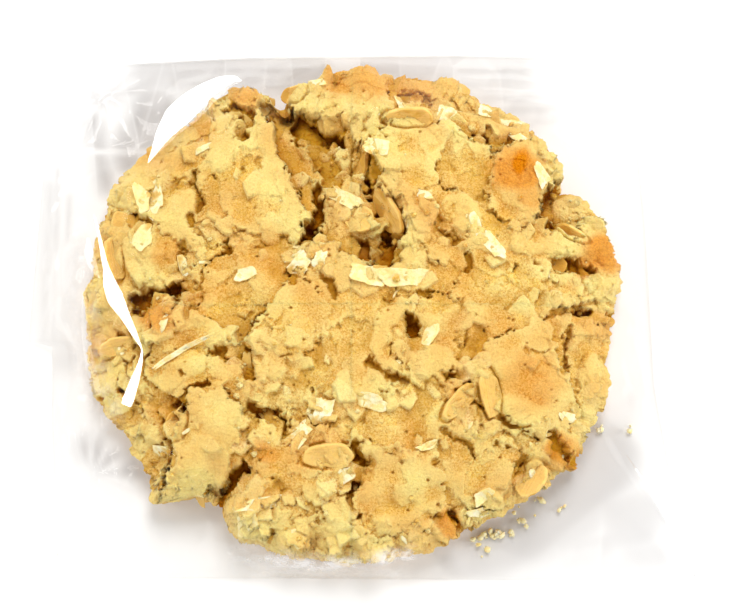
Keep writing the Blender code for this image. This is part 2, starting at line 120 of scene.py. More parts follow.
def chunks(x, y, cell, seed):
    """A floor of broken pieces. Each point belongs to its nearest seed point, one in each cell.

    Returns the piece's height and tilt together, about -1 to 1, the distance to the next
    piece in cells, and the way in millimetres to the piece's middle.
    """
    table = np.random.default_rng(seed).random((NOISE_TABLE, NOISE_TABLE, 5))
    u, v = x / cell, y / cell
    column, row = np.floor(u).astype(int), np.floor(v).astype(int)
    best = np.full(np.shape(x), 9.0)
    second = best.copy()
    height, way_x, way_y = (np.zeros(np.shape(x)) for _ in range(3))
    for i in (-1, 0, 1):
        for j in (-1, 0, 1):
            draw = table[(column + i) % NOISE_TABLE, (row + j) % NOISE_TABLE]
            away_u = u - (column + i + draw[..., 0])
            away_v = v - (row + j + draw[..., 1])
            far = np.hypot(away_u, away_v)
            own = 2 * draw[..., 2] - 1 + 1.4 * (draw[..., 3] - 0.5) * away_u
            own = own + 1.4 * (draw[..., 4] - 0.5) * away_v
            nearer = far < best
            second = np.where(nearer, best, np.minimum(second, far))
            height = np.where(nearer, own, height)
            way_x = np.where(nearer, -away_u * cell, way_x)
            way_y = np.where(nearer, -away_v * cell, way_y)
            best = np.minimum(best, far)
    return height, second - best, way_x, way_y


def distance_to_line(x, y, points):
    """Distance from each plan point to a line of straight stretches."""
    nearest = np.full(np.shape(x), 1e9)
    for (ax, ay), (bx, by) in zip(points, points[1:]):
        run_x, run_y = bx - ax, by - ay
        along = ((x - ax) * run_x + (y - ay) * run_y) / (run_x**2 + run_y**2)
        along = np.clip(along, 0, 1)
        gap = np.hypot(x - ax - along * run_x, y - ay - along * run_y)
        nearest = np.minimum(nearest, gap)
    return nearest


def ragged(x, y):
    """The plan point pushed about, so that every straight boundary turns ragged."""
    push_x = 0.8 * noise(x, y, 4.0, 1) + 0.35 * noise(x, y, 1.7, 2)
    push_y = 0.8 * noise(x, y, 4.0, 3) + 0.35 * noise(x, y, 1.7, 4)
    return x + push_x, y + push_y


def torn(x, y):
    """The ragged point with smaller waves and a pull to the middle of its crumb: a torn edge."""
    rough_x, rough_y = ragged(x, y)
    for cell, push, seed in ((1.9, 0.40, 47), (0.9, 0.28, 41), (0.45, 0.12, 43)):
        rough_x = rough_x + push * noise(x, y, cell, seed)
        rough_y = rough_y + push * noise(x, y, cell, seed + 1)
    for cell, pull, seed in ((2.1, 0.32, 45), (0.8, 0.35, 46)):
        _, _, way_x, way_y = chunks(x, y, cell, seed)
        rough_x, rough_y = rough_x + pull * way_x, rough_y + pull * way_y
    return rough_x, rough_y


# %% [markdown]
# ## The plan of the crust
#
# The outline and the plates are the part's own, and so are the crevices, of which a few are
# narrower or deeper here. The finer features are added to them: the smooth skin of each plate,
# hairline cracks, small pits and the places of the oats.

# %% The disc, its notches, plates and crevices
COOKIE_LENGTH = 94.2
COOKIE_WIDTH = 88.2
DOME_HEIGHT = 15.2
FOOT_HEIGHT = 2.6
FOOT_TUCK = 2.2
DOME_POWER = 2.5
TOP_SHARE = 0.95
PLATE_STEP = 1.35
RIM_LUMPS = 1.3
SIDE_LUMPS = 0.6

# Angle, depth (a bulge is negative), width in degrees.
NOTCHES = (
    (109, 5.2, 3.6),
    (102, 1.2, 4),
    (119, -1.4, 4),
    (149, -1.8, 13),
    (178, -0.6, 12),
    (-162, -0.9, 7),
    (-150, 0.8, 6),
    (-136, -2.9, 3.4),
    (-126, 3.6, 6),
    (-61, 1.0, 10),
    (-34, -1.4, 3),
    (-22, -1.0, 6),
    (-5, 1.2, 7),
    (13, -1.2, 9),
    (30.5, 3.4, 3),
    (66.5, -1.5, 3),
    (88, -0.5, 9),
    (47, -1.1, 11),
)

# Centre x, y, lift over the dome, slope along x and y.
PLATES = (
    (-17, 21, 1.0, 0.00, 0.00),
    (-19, 4, 0.1, 0.01, 0.03),
    (-36, 24, 0.2, 0.02, -0.02),
    (-29, 17, 0.6, 0.00, 0.02),
    (-36, 9, 0.0, -0.02, 0.02),
    (-29, -10, 0.8, 0.03, -0.03),
    (-24, -22, 1.5, -0.02, 0.00),
    (-36, -19, -0.6, 0.00, 0.04),
    (-9, -3, 1.0, 0.00, 0.02),
    (-2, -10, 0.5, 0.02, 0.00),
    (-14, -15, 0.2, 0.00, 0.05),
    (-15, -25, 0.4, 0.04, 0.00),
    (-11, -33, 0.8, 0.00, -0.03),
    (8, -30, 1.0, -0.02, 0.02),
    (9, -19, 0.6, 0.00, -0.03),
    (22, -27, 0.5, 0.03, 0.02),
    (31, -12, 1.5, -0.02, 0.01),
    (25, 3, 1.1, 0.02, 0.00),
    (13, 8, 0.9, -0.03, 0.02),
    (15, -5, 0.7, 0.00, -0.04),
    (11, 26, 1.4, -0.02, 0.02),
    (20, 24, 0.8, 0.00, 0.00),
    (29, 23, 1.9, 0.03, 0.02),
    (17, 16, 0.9, 0.02, 0.02),
    (0, 37, 0.7, 0.00, -0.03),
    (13, 40, 0.0, 0.00, 0.00),
    (26, 34, 0.0, 0.03, 0.03),
    (40, 20, -0.6, 0.00, 0.03),
    (39, 10, 1.0, 0.00, 0.00),
    (42, -8, 0.0, 0.00, 0.00),
    (-5, 26, -1.6, 0.00, 0.00),
    (3, 12, -1.2, 0.00, 0.00),
    (0, 4, 0.6, 0.00, -0.04),
    (-43, -8, -0.8, 0.00, 0.00),
)

# The line of the floor as x, y points, then half width and depth.
CREVICES = (
    (((-21.5, 36.0), (-19, 34), (-18.8, 31.5)), 1.5, 3.2),
    (((-8, 32), (-2.5, 31.2)), 2.6, 3.2),
    (((-6, 28), (-3, 23)), 2.2, 2.3),
    (((-6, 21), (-5.6, 18), (-6.5, 14), (-8.3, 11)), 0.95, 3.2),
    (((2, 27), (4.5, 24), (2.6, 21.4)), 1.3, 3.6),
    (((3.6, 18.6), (5.2, 15), (6.6, 12)), 0.9, 2.8),
    (((3, 9.6), (8.2, 8.8)), 2.2, 2.7),
    (((9.6, -0.8), (10.6, -4), (11, -6.8)), 1.0, 3.2),
    (((3, -9.5), (5.2, -11.6), (9.4, -13.4)), 0.8, 2.4),
    (((16.6, -12), (20, -13)), 0.8, 2.8),
    (((19.6, 0), (19.4, -5), (18.4, -10)), 0.35, 1.1),
    (((-23, -8.4), (-19, -8), (-18, -12.4)), 1.4, 2.8),
    (((-17, -17.6), (-13, -19), (-11.6, -22)), 1.0, 2.6),
    (((-18.6, -28), (-20.6, -30.5), (-24, -32.4)), 1.0, 3.6),
    (((-37.4, 0.6), (-34, 1.8), (-31, 3.0)), 1.3, 4.4),
    (((-31, 3.2), (-29.6, 6.4), (-29.4, 11)), 0.42, 1.8),
    (((-27.4, 24), (-27, 20.6), (-26.6, 17)), 0.65, 2.0),
    (((-38.4, 16), (-36.6, 14.6)), 1.2, 2.6),
    (((-39, -8), (-39.6, -13)), 0.8, 2.0),
    (((-36, -15), (-32, -18.6), (-29, -17), (-25, -13.6)), 0.3, 0.7),
    (((-31, -19), (-31.6, -23), (-31, -27.4)), 0.8, 2.4),
    (((0.6, -24.4), (2, -27), (1.4, -30), (-0.4, -32), (0.4, -35.4)), 0.75, 3.2),
    (((35, -23), (36.4, -26)), 1.3, 3.0),
    (((30, -26.4), (28, -30.4)), 0.6, 1.6),
    (((39.6, -1.2), (41.4, -1.6)), 1.05, 3.6),
    (((38.2, -4), (37.4, -8), (36.6, -10.8)), 0.55, 1.9),
    (((35.6, 7), (38, 7.4), (41, 6.6)), 1.4, 3.2),
    (((33.6, 14.2), (37, 14), (40, 12.8)), 0.9, 3.2),
    (((35, 17.5), (39, 16.5)), 2.6, 0.7),
    (((23, 32), (24.6, 29.6), (27.2, 30)), 1.1, 2.2),
    (((9, 38.4), (13, 38)), 0.8, 1.6),
    (((16.5, 12), (18, 11.5)), 0.9, 2.0),
    (((-10, 5.6), (-9.6, 4)), 0.8, 1.8),
    (((16, -36.4), (17.6, -37)), 0.9, 2.0),
)

# Raised mounds and ridges: the line, half width, height and how yellow.
MOUNDS = (
    (((30, 11.3), (36, 11.4), (43, 11)), 2.4, 1.1, 0.3),
    (((18.6, 16.4), (19.4, 15.6)), 3.2, 0.9, 1.0),
    (((14.6, -9), (14.4, -12)), 2.2, 0.9, 1.0),
    (((-35.2, -3.2), (-31.8, -1.8)), 2.4, 2.2, 0.0),
    (((6.4, -2), (4.6, -7)), 1.7, 1.2, 0.5),
    (((4.8, -7.6), (4.8, -8.2)), 1.1, 0.6, 1.0),
    (((-20.5, 39), (-17, 38.6)), 2.6, 0.8, 0.0),
    (((44.6, 12.6), (45.4, 10)), 2.6, 0.9, 0.0),
    (((28, 26), (30, 21)), 4.6, 0.7, 0.0),
    (((-9.4, 34.6), (-8.6, 33)), 1.5, 0.7, 0.3),
    (((-8.2, 29), (-7.4, 27.6)), 1.5, 0.7, 0.4),
    (((-6.8, 22.6), (-6.6, 21.6)), 1.3, 0.7, 0.4),
    (((37.4, 29), (37.6, 24)), 2.4, 0.9, 0.3),
    (((-17.4, -38), (-16.6, -38)), 2.7, 1.1, 0.1),
    (((-10.6, -41), (-9.4, -41)), 2.5, 1.1, 0.2),
    (((0, 43), (12, 41.8)), 2.6, 0.7, 0.3),
    (((-2, 5.2), (1.4, 3.4)), 1.8, 0.7, 0.2),
    (((-27, -10), (-35, -15)), 2.4, 0.7, 0.2),
    (((10.6, 10.6), (15.4, 8.6)), 2.4, 0.7, 0.4),
    (((-37, 11), (-33, 10.6)), 2.4, 0.6, 0.3),
    (((40.4, -15), (42, -10)), 2.0, 0.8, 0.5),
    (((2, -14.4), (4, -14.2)), 1.6, 0.5, 0.6),
)

# Hairline cracks and little pits: the line, half width and depth.
CRACKS = (
    (((-19, 13), (-21, 11.5), (-22, 9.5), (-24, 8.8), (-25.7, 6)), 0.38, 2.2),
    (((-25.7, 6), (-25.5, 4), (-26, 0)), 0.28, 1.4),
    (((-10, 12), (-13, 11), (-16.5, 9.3)), 0.22, 0.8),
    (((-24.5, 31.5), (-27, 30), (-30, 28)), 0.25, 1.0),
    (((-31, 29.5), (-34.5, 26.5)), 0.25, 0.9),
    (((-34, 21.5), (-29.5, 23)), 0.25, 0.9),
    (((-23, 13.5), (-26, 14.5)), 0.2, 0.7),
    (((29, -8.3), (31.6, -8.6), (34.5, -7.5)), 0.3, 1.0),
    (((26.5, -20), (28, -20.8), (30, -21.5)), 0.5, 1.8),
    (((16, -21.5), (20, -24), (21.5, -26)), 0.45, 1.5),
    (((-25, -13.5), (-27, -14.5), (-28.5, -16), (-31.5, -18.5)), 0.45, 2.0),
    (((20.5, 8.4), (20.6, 6.6)), 0.7, 2.0),
    (((28.6, 6.4), (29.4, 5.6)), 0.8, 2.0),
    (((12, 2.4), (13, 1.8)), 0.8, 2.2),
    (((-28, 15.6), (-28, 14.4)), 0.8, 2.0),
    (((-17, 25.4), (-16, 24.8)), 0.3, 0.9),
    (((-29.8, -11.4), (-29.4, -12.2)), 0.6, 1.5),
    (((13.6, -27.2), (14.4, -27.8)), 0.6, 1.6),
    (((24.8, -24.2), (25.2, -24.5)), 0.6, 1.6),
    (((26.9, -24.5), (27.2, -24.6)), 0.6, 1.6),
    (((-14.8, -38.5), (-13.8, -38.6)), 0.6, 1.6),
    (((1.2, -36), (1.9, -36.2)), 0.7, 1.8),
    (((11.6, -38.4), (12.4, -38.6)), 0.6, 1.4),
    (((-5, 5), (-2.5, 2)), 0.6, 1.8),
    (((5.6, 12.2), (6.6, 12)), 0.9, 3.0),
    (((-7.2, 13.6), (-6.2, 13.4)), 0.8, 2.5),
    (((-12, -9), (-10, -8.4)), 0.4, 1.2),
    (((7, -26), (9, -26.6)), 0.3, 1.0),
    (((5.6, 1.4), (8, 0.4)), 0.35, 1.1),
    (((24, 16), (26.4, 15), (27, 13.6)), 0.3, 1.0),
    (((13.6, 16.4), (15.6, 14.6)), 0.3, 0.9),
    (((-12, -1), (-13.4, -3.4)), 0.3, 0.9),
    (((-17, -1), (-19.5, -2.6)), 0.3, 0.9),
    (((22, -34.4), (24, -35)), 0.5, 1.6),
    (((-6, -37), (-3.4, -38)), 0.35, 1.2),
    (((5.4, -15.2), (7.6, -15.6)), 0.4, 1.4),
)

# The skin of the plates: the line of each, then half width.
SKINS = (
    (((-15, 31), (-12.5, 34)), 4.0),
    (((-19, 23), (-14, 19)), 8.0),
    (((-16, 26), (-13, 25)), 6.5),
    (((-20, 5), (-13, 3)), 6.0),
    (((-22, -1), (-14, 0)), 3.6),
    (((-33, 32), (-27, 33)), 4.0),
    (((-38, 25), (-31, 25)), 2.4),
    (((-30, 18), (-33, 9)), 3.4),
    (((10, 28), (14, 23)), 5.2),
    (((20, 25), (20, 22)), 3.8),
    (((28, 26), (30, 20)), 4.4),
    (((25, -3), (32, -12)), 6.6),
    (((27, -16), (29, -18)), 4.0),
    (((30, 10.5), (42, 11)), 1.8),
    (((-34, -12), (-26, -8)), 4.2),
    (((-25, -18), (-24, -27)), 5.0),
    (((6, -21), (13, -20)), 3.6),
    (((7, -33), (16, -30)), 5.0),
    (((20, -27), (25, -27)), 3.8),
    (((-6, 0), (2, -6)), 5.2),
    (((-5, -11), (2, -9)), 3.4),
    (((17, 5), (25, 5)), 4.4),
    (((26, 12), (24, 16)), 2.6),
    (((1, 38.5), (10, 40.5)), 3.2),
    (((-14, -27), (-10, -29)), 2.6),
    (((-44, -12), (-42, -18)), 2.4),
    (((43, -4), (44, -14)), 2.2),
    (((15, -1), (16, -8)), 2.4),
    (((-41, 4), (-41, 8)), 2.4),
    (((44, 10), (46, 12)), 2.2),
)  # fmt: skip

# Rolled oats: x, y, length, width, heading, then tilt and roll off level, in degrees.
OATS = (
    (10, 33.4, 8.5, 5.0, 0, 0, 48),
    (1.6, 26.6, 9.0, 4.6, 84, 0, -50),
    (6.4, 17.0, 9.5, 4.8, -64, 0, 52),
    (1.4, 15.4, 5.4, 4.6, -40, 12, 0),
    (-4, -26, 8.6, 4.4, 5, 0, 24),
    (18.6, -16.7, 8.2, 3.2, 49, -8, 18),
    (23.8, -15.5, 8.4, 3.6, -80, -8, -14),
    (31.2, -29.8, 6.6, 5.4, 62, 0, -30),
    (-41.2, -6.6, 6.6, 3.4, 17, 0, 26),
    (-30.6, -20.6, 5.6, 4.4, 70, 0, 14),
    (-42, 9, 8.0, 3.6, -78, 0, -34),
    (-40.2, 15.4, 5.4, 4.0, -20, 10, 0),
    (38.6, 13.2, 6.0, 3.0, -28, 0, 40),
    (36.2, 7.4, 3.6, 2.8, 10, 0, 0),
    (-10.5, 39.0, 4.6, 3.6, 30, 10, 10),
)


# %% [markdown]
# ## The height of the crust
#
# The height of the top is worked out once, as a map on a fine square grid. It starts from the
# part's own dome, with the same outline. Plates are the areas nearest to each plate's middle. They
# meet in steps, and along part of each meeting line the crust has parted in a jagged crack.


# %% Outline, plates and crevices as functions of the plan point
def outline_radius(angle):
    """The widest radius at an angle: an ellipse with notches, bulges and a ragged edge."""
    half_length, half_width = COOKIE_LENGTH / 2, COOKIE_WIDTH / 2
    across = np.hypot(half_width * np.cos(angle), half_length * np.sin(angle))
    radius = half_length * half_width / across
    round_x, round_y = half_length * np.cos(angle), half_width * np.sin(angle)
    radius = radius + 0.7 * noise(round_x, round_y, 5.5, 31)
    radius = radius + 0.3 * noise(round_x, round_y, 2.4, 32)
    for degrees, depth, width in NOTCHES:
        turn = (np.degrees(angle) - degrees + 180) % 360 - 180
        radius = radius - depth * np.exp(-((turn / width) ** 2))
    return radius


def plates_at(x, y):
    """The lift of the nearest plate, and how much farther the second nearest one is."""
    nearest = np.full(np.shape(x), 1e9)
    second, lift = nearest.copy(), np.zeros(np.shape(x))
    for plate_x, plate_y, height, slope_x, slope_y in PLATES:
        away_x, away_y = x - plate_x, y - plate_y
        far = np.hypot(away_x, away_y)
        nearer = far < nearest
        second = np.where(nearer, nearest, np.minimum(second, far))
        lift = np.where(nearer, height + slope_x * away_x + slope_y * away_y, lift)
        nearest = np.minimum(nearest, far)
    return lift, second - nearest


def carved(x, y, lines, softness):
    """How far a list of lines cuts down at each point: the deepest one counts."""
    depth = np.zeros(np.shape(x))
    for points, half_width, deep in lines:
        inside = half_width - distance_to_line(x, y, points)
        depth = np.maximum(depth, deep * smooth_step(-softness, softness, inside))
    return depth


# %% The map's grid, its dome and its masks
MAP_HALF = 52.0
MAP_STEP = 0.13
map_axis = np.arange(-MAP_HALF, MAP_HALF + MAP_STEP / 2, MAP_STEP)
map_x, map_y = np.meshgrid(map_axis, map_axis)
map_share = np.hypot(map_x, map_y) / outline_radius(np.arctan2(map_y, map_x))
map_inside = map_share < 1
torn_x, torn_y = torn(map_x, map_y)


def blur(values, radius):
    """A map blurred by a bell of the given radius in millimetres, through its spectrum."""
    waves = np.fft.fftfreq(len(map_axis), MAP_STEP)
    bell = np.exp(-2 * (np.pi * radius) ** 2 * (waves[:, None] ** 2 + waves[None, :] ** 2))
    return np.fft.ifft2(np.fft.fft2(values) * bell).real


def blend_cells(values, u, v):
    """Values of a grid at places counted in cells: blended between the four nearest points."""
    column, row = u.astype(int), v.astype(int)
    u, v = u - column, v - row
    near = values[row, column] * (1 - u) + values[row, column + 1] * u
    far = values[row + 1, column] * (1 - u) + values[row + 1, column + 1] * u
    return near * (1 - v) + far * v


def read_map(values, x, y):
    """Values of a map at plan points, in millimetres."""
    u = np.clip((x + MAP_HALF) / MAP_STEP, 0, len(map_axis) - 1.001)
    v = np.clip((y + MAP_HALF) / MAP_STEP, 0, len(map_axis) - 1.001)
    return blend_cells(values, u, v)


def map_window(x, y, reach):
    """The square of the map's points within reach of a plan point, for a stamp."""
    column, row = int((x + MAP_HALF) / MAP_STEP), int((y + MAP_HALF) / MAP_STEP)
    side = int(reach / MAP_STEP) + 2
    return (slice(max(row - side, 0), row + side), slice(max(column - side, 0), column + side))


lift, seam = plates_at(torn_x, torn_y)
crevice = 0.80 * carved(torn_x, torn_y, CREVICES, 0.42)
crack = carved(torn_x, torn_y, CRACKS, 0.16)
parting = 0.45 * noise(map_x, map_y, 6.0, 52) + 0.25 * noise(map_x, map_y, 2.0, 53) - 0.06
parting = np.clip(parting, 0, 0.24)
joint = smooth_step(parting + 0.16, parting - 0.02, seam) * smooth_step(0.0, 0.10, parting)

skin_inside = np.full(map_x.shape, -9.0)
for points, half_width in SKINS:
    skin_inside = np.maximum(skin_inside, half_width - distance_to_line(torn_x, torn_y, points))
map_skin = smooth_step(-0.5, 0.5, skin_inside + 1.4 * noise(map_x, map_y, 5.0, 51) + 0.5)
print("share of the top with smooth skin:", round(float(map_skin[map_share < 0.93].mean()), 2))

# %% [markdown]
# ## Torn layers
#
# While the dough spreads, its skin tears and slides, so that it lies in thin layers with ragged
# edges. A slow noise cut into levels gives such layers: along some stretches of a level's border
# the rise is sharp, with a groove at its foot, and along others it is a smooth slope.


# %% Layers with ragged edges
def layers(x, y, cell, level, seed):
    """A noise in steps of one level. Where the border is sharp, the rise fills a tenth of a step."""
    field = noise(x, y, cell, seed) + 0.35 * noise(x, y, cell / 2.4, seed + 1)
    steps = field / level
    whole = np.floor(steps)
    rest = steps - whole
    sharp = smooth_step(-0.15, 0.15, noise(x, y, 1.3 * cell, seed + 2))
    rise = smooth_step(0.88, 0.98, rest)
    groove = np.exp(-(((rest - 0.86) / 0.05) ** 2)) * sharp
    return whole + rest * (1 - sharp) + rise * sharp, groove


wide_layers, wide_groove = layers(torn_x, torn_y, 8.0, 0.50, 54)
thin_layers, thin_groove = layers(torn_x, torn_y, 4.2, 0.50, 57)
mound, map_yolk = np.zeros(map_x.shape), np.zeros(map_x.shape)
soft_x, soft_y = ragged(map_x, map_y)
for points, half_width, rise, yellow in MOUNDS:
    round_top = np.clip(1 - (distance_to_line(soft_x, soft_y, points) / half_width) ** 2, 0, 1)
    mound = np.maximum(mound, rise * np.sqrt(round_top))
    map_yolk = np.maximum(map_yolk, yellow * smooth_step(0.0, 0.5, round_top))
bare = 1 - map_skin
layered = (0.34 + 0.36 * bare) * wide_layers + (0.04 + 0.30 * bare) * thin_layers
groove = (0.06 + 0.12 * bare) * wide_groove + 0.08 * bare * thin_groove
print("layers' lift:", round(float(layered.min()), 2), "to", round(float(layered.max()), 2), "mm")

# %% [markdown]
# ## Nests for the oats
#
# An oat flake that baked into the crust sits in a small groove of its own outline. The groove's
# shadow, with shade painted into it as well, is what sets the flake off, as its colour is close to
# the dough's.

# %% A groove round each oat
NEST_RATIO = 1.14
NEST_WIDTH = 0.13
nest = np.zeros(map_x.shape)
nest_wave = 0.10 * noise(map_x, map_y, 1.7, 48)
for x, y, length, width, heading, _, roll in OATS:
    cos_heading, sin_heading = math.cos(math.radians(heading)), math.sin(math.radians(heading))
    along = cos_heading * (map_x - x) + sin_heading * (map_y - y)
    across = cos_heading * (map_y - y) - sin_heading * (map_x - x)
    half_across = width / 2 * math.cos(math.radians(roll))
    ratio = np.hypot(along / (length / 2), across / half_across) + nest_wave
    nest = np.maximum(nest, np.exp(-(((ratio - NEST_RATIO) / NEST_WIDTH) ** 2)))
print("nests:", len(OATS))

# %% [markdown]
# ## Lumps and flakes in the dough
#
# Where the skin is broken, the crumb is soft lumps of dough with flakes of oat and coconut
# between them. A lump is stamped into the map as a low dome with an uneven outline, and a flake as
# a tilted plate with a crisp angular one. A stamp raises the map only where it stands above it, so
# they overlap as real ones do, and it notes what it is made of, so the finish can colour it.

# %% The ground under the pieces
HIGHEST = 16.2  # the ground is flattened above this height, and the pieces on it above CROWN
CROWN = 16.6
fade = 1 - smooth_step(0.965, 1.0, map_share)
dome = (1 - np.clip(map_share, 0, 1) ** DOME_POWER) ** (1 / DOME_POWER)
swells = 0.75 * noise(map_x, map_y, 9.0, 5) + 0.55 * noise(map_x, map_y, 4.6, 6)
swells = swells + 0.14 * noise(map_x, map_y, 2.1, 7) + 0.04 * noise(map_x, map_y, 1.0, 65)
swells = swells + 0.025 * noise(map_x, map_y, 0.5, 66)
swells = swells + RIM_LUMPS * smooth_step(0.72, 0.95, map_share) * noise(map_x, map_y, 5.2, 8)
puffy = 0.6 * np.abs(noise(*ragged(map_x, map_y), 3.4, 63)) ** 0.8
puffy = puffy + 0.10 * np.abs(noise(map_x, map_y, 1.6, 64)) ** 0.8 - 0.30
relief = PLATE_STEP * lift + swells - np.maximum(crevice, joint) + layered - groove
relief = relief + bare * puffy - 0.65 * crack + mound - 0.8 * nest
# The depth of crevices, cracks, joints, grooves and nests, which the finish paints dark as shade.
map_depth_for_painted_shade = np.maximum.reduce([crevice, crack, joint, 1.3 * groove, 1.4 * nest]) * fade
map_height = FOOT_HEIGHT + (DOME_HEIGHT - FOOT_HEIGHT) * dome + relief * fade
map_height = np.where(map_height > HIGHEST, HIGHEST + 0.35 * (map_height - HIGHEST), map_height)
map_height = np.where(map_inside, np.maximum(map_height, FOOT_HEIGHT * 0.6), 0.0)
map_pale = np.zeros(map_x.shape)
map_oat = np.zeros(map_x.shape)
smooth_height = blur(map_height, 0.8)

# %% Stamp the embedded pieces
STAMPS = 1150
STAMP_MOST = 6.0
STAMP_LEAST = 2.0
# A stamp's kind is a draw from 0 to 1: lumps, then pale flakes, dough flakes, and oats at the top.
LUMP_SHARE = 0.30
PALE_BELOW = 0.58
OAT_ABOVE = 0.9
stamp_draw = np.random.default_rng(67)
outline_wave = noise(map_x, map_y, 1.3, 69)
stamped = 0
for _ in range(STAMPS):
    turn = stamp_draw.random() * TAU
    share = math.sqrt(stamp_draw.random()) * 0.96
    kind = stamp_draw.random()
    reach = share * float(outline_radius(np.array(turn)))
    x, y = reach * math.cos(turn), reach * math.sin(turn)
    length = STAMP_LEAST + (STAMP_MOST - STAMP_LEAST) * stamp_draw.random() ** 1.3
    width = length * (0.40 + 0.45 * stamp_draw.random())
    heading, corner = TAU * stamp_draw.random(2)
    slope_a, slope_b = stamp_draw.random(2) - 0.5
    thick = 0.30 + 0.4 * stamp_draw.random()
    sunk = 0.5 * stamp_draw.random()
    pale_tone = 0.5 + 0.5 * stamp_draw.random()
    smooth_there = float(read_map(map_skin, np.array(x), np.array(y)))
    deep_there = float(read_map(map_depth_for_painted_shade, np.array(x), np.array(y)))
    # Few pieces show on smooth skin, most on open crumb, and some down in the crevices.
    kept = 0.06 if smooth_there > 0.5 else 0.75 if deep_there < 1.0 else 0.3
    if stamp_draw.random() > kept:
        continue
    window = map_window(x, y, 0.7 * length)
    away_x, away_y = map_x[window] - x, map_y[window] - y
    along = math.cos(heading) * away_x + math.sin(heading) * away_y
    across = -math.sin(heading) * away_x + math.cos(heading) * away_y
    u, v = along / (length / 2), across / (width / 2)
    is_lump = kind < LUMP_SHARE
    if is_lump:
        far = np.hypot(u, v) + 0.30 * outline_wave[window]
        profile = thick * (1.5 * np.sqrt(np.clip(1 - far * far, 0, 1)) - 0.4)
    else:
        # The outline is a plate of four, five or six straight sides, a little chipped.
        sides = 4 + int(6 * corner / TAU) // 2
        facing = np.arctan2(v, u) - corner
        polygon = np.cos((facing % (TAU / sides)) - math.pi / sides)
        polygon = polygon / math.cos(math.pi / sides) ** 0.5
        far = np.hypot(u, v) * (0.10 + 0.90 * polygon) + 0.05 * outline_wave[window]
        profile = thick * (1 - 0.5 * smooth_step(0.8, 1.0, far))
    flake_top = float(read_map(smooth_height, np.array(x), np.array(y))) + profile - thick * sunk
    flake_top = flake_top + slope_a * along + slope_b * across
    raised = (far < 1.0) & (flake_top > map_height[window]) & map_inside[window]
    map_height[window] = np.where(raised, flake_top, map_height[window])
    paleness = 0.2 if is_lump else 1.0 if kind < PALE_BELOW else 0.3 if kind < OAT_ABOVE else 0.0
    map_pale[window] = np.where(raised, pale_tone * paleness, map_pale[window])
    map_oat[window] = np.where(raised, float(kind > OAT_ABOVE), map_oat[window])
    # A flake that lies over a crevice takes away part of the shade painted there.
    map_depth_for_painted_shade[window] = np.where(raised, 0.55 * map_depth_for_painted_shade[window], map_depth_for_painted_shade[window])
    stamped += 1
map_height = np.where(map_height > CROWN, CROWN + 0.25 * (map_height - CROWN), map_height)
print("embedded pieces:", stamped)

# %% [markdown]
# ## Pores
#
# Steam leaves small round holes in the crust. They are stamped in the same way, downwards, and each
# pore's depth is kept so that shade can be painted in it. Blurred copies of the finished map then
# tell how far each point lies below its surroundings: the finish paints shade where a point lies
# below them, and paints highlight where it stands above them.

# %% Prick the pores and measure how low each point lies, for painted shade and highlight
PORES = 700
PORE_REACH = 44
pore_draw = np.random.default_rng(68)
for _ in range(PORES):
    x, y = (pore_draw.random(2) * 2 - 1) * PORE_REACH
    radius = 0.13 + 0.26 * pore_draw.random() ** 3
    window = map_window(x, y, 1.6 * radius)
    far = np.hypot(map_x[window] - x, 1.3 * (map_y[window] - y)) / radius
    dip = 1.6 * radius * smooth_step(1.15, 0.5, far)
    map_height[window] -= dip * (map_share[window] < 0.9)
    # Each pore is painted dark as shade, by its depth.
    map_depth_for_painted_shade[window] = np.maximum(map_depth_for_painted_shade[window], 1.4 * dip)

# Painted shade and highlight: how far each point lies below its blurred surroundings, at three sizes.
map_painted_shade_and_highlight = np.zeros(map_x.shape)
for radius, weight in ((0.6, 0.5), (2.2, 0.6), (4.5, 0.25)):
    map_painted_shade_and_highlight = map_painted_shade_and_highlight + weight * (blur(map_height, radius) - map_height)
slope_y, slope_x = np.gradient(blur(map_height, 0.7), MAP_STEP)
print("crust's highest point:", round(float(map_height.max()), 2), "mm")

# %% [markdown]
# ## Browning
#
# Heat colours a cookie unevenly: high knobs, thin edges and a few spots at the rim turn orange
# brown, and the rest stays pale gold. The spots are soft discs, and the rest follows the height.

# %% Browned spots
# Centre x, y, radius and strength.
TOASTED = (
    (29, 23.6, 5.6, 0.8),
    (29.4, 25.4, 3.0, 1.0),
    (31, 19.4, 3.4, 0.6),
    (44.6, 10, 4.6, 0.8),
    (-19, 38.6, 3.6, 0.6),
    (-32, 9.5, 3.4, 0.45),
    (-14.5, -25.5, 2.6, 0.6),
    (-33.5, -2.2, 4.0, 0.7),
    (-1, 42.5, 6.5, 0.55),
    (5, 42.5, 6.5, 0.6),
    (11, 41.5, 6.5, 0.55),
    (31, -13, 6.5, 0.55),
    (24, -6, 7.0, 0.3),
    (18.5, -41, 2.4, 1.0),
    (40.5, 7, 2.2, 0.7),
    (16.5, -36.5, 2.0, 0.7),
    (36, -24.5, 3.0, 0.8),
    (-35, -33, 3.0, 0.5),
    (13, 38, 4.5, 0.35),
    (-22, 17, 7.0, 0.25),
    (41, -2, 3.0, 0.5),
)


def toasting(x, y):
    """How brown each point is, 0 to 1: the spots, and uneven patches everywhere."""
    brown = 0.16 + 0.30 * noise(x, y, 11.0, 71) + 0.16 * noise(x, y, 4.0, 72)
    for spot_x, spot_y, radius, strength in TOASTED:
        away = np.hypot(x - spot_x, y - spot_y) + 1.2 * noise(x, y, 3.0, 73)
        brown = np.maximum(brown, strength * smooth_step(1.25 * radius, 0.45 * radius, away))
    return np.clip(brown, 0, 1)


# %% [markdown]
# ## Putting a surface into a mesh
#
# Every piece is a set of rings. A crust is rings that close below. A flake or a crumb is a few
# rings between two end points, and thousands of them share one mesh, each with the same faces
# shifted by its own count of points.

# %% Mesh helpers
cookie_points = []


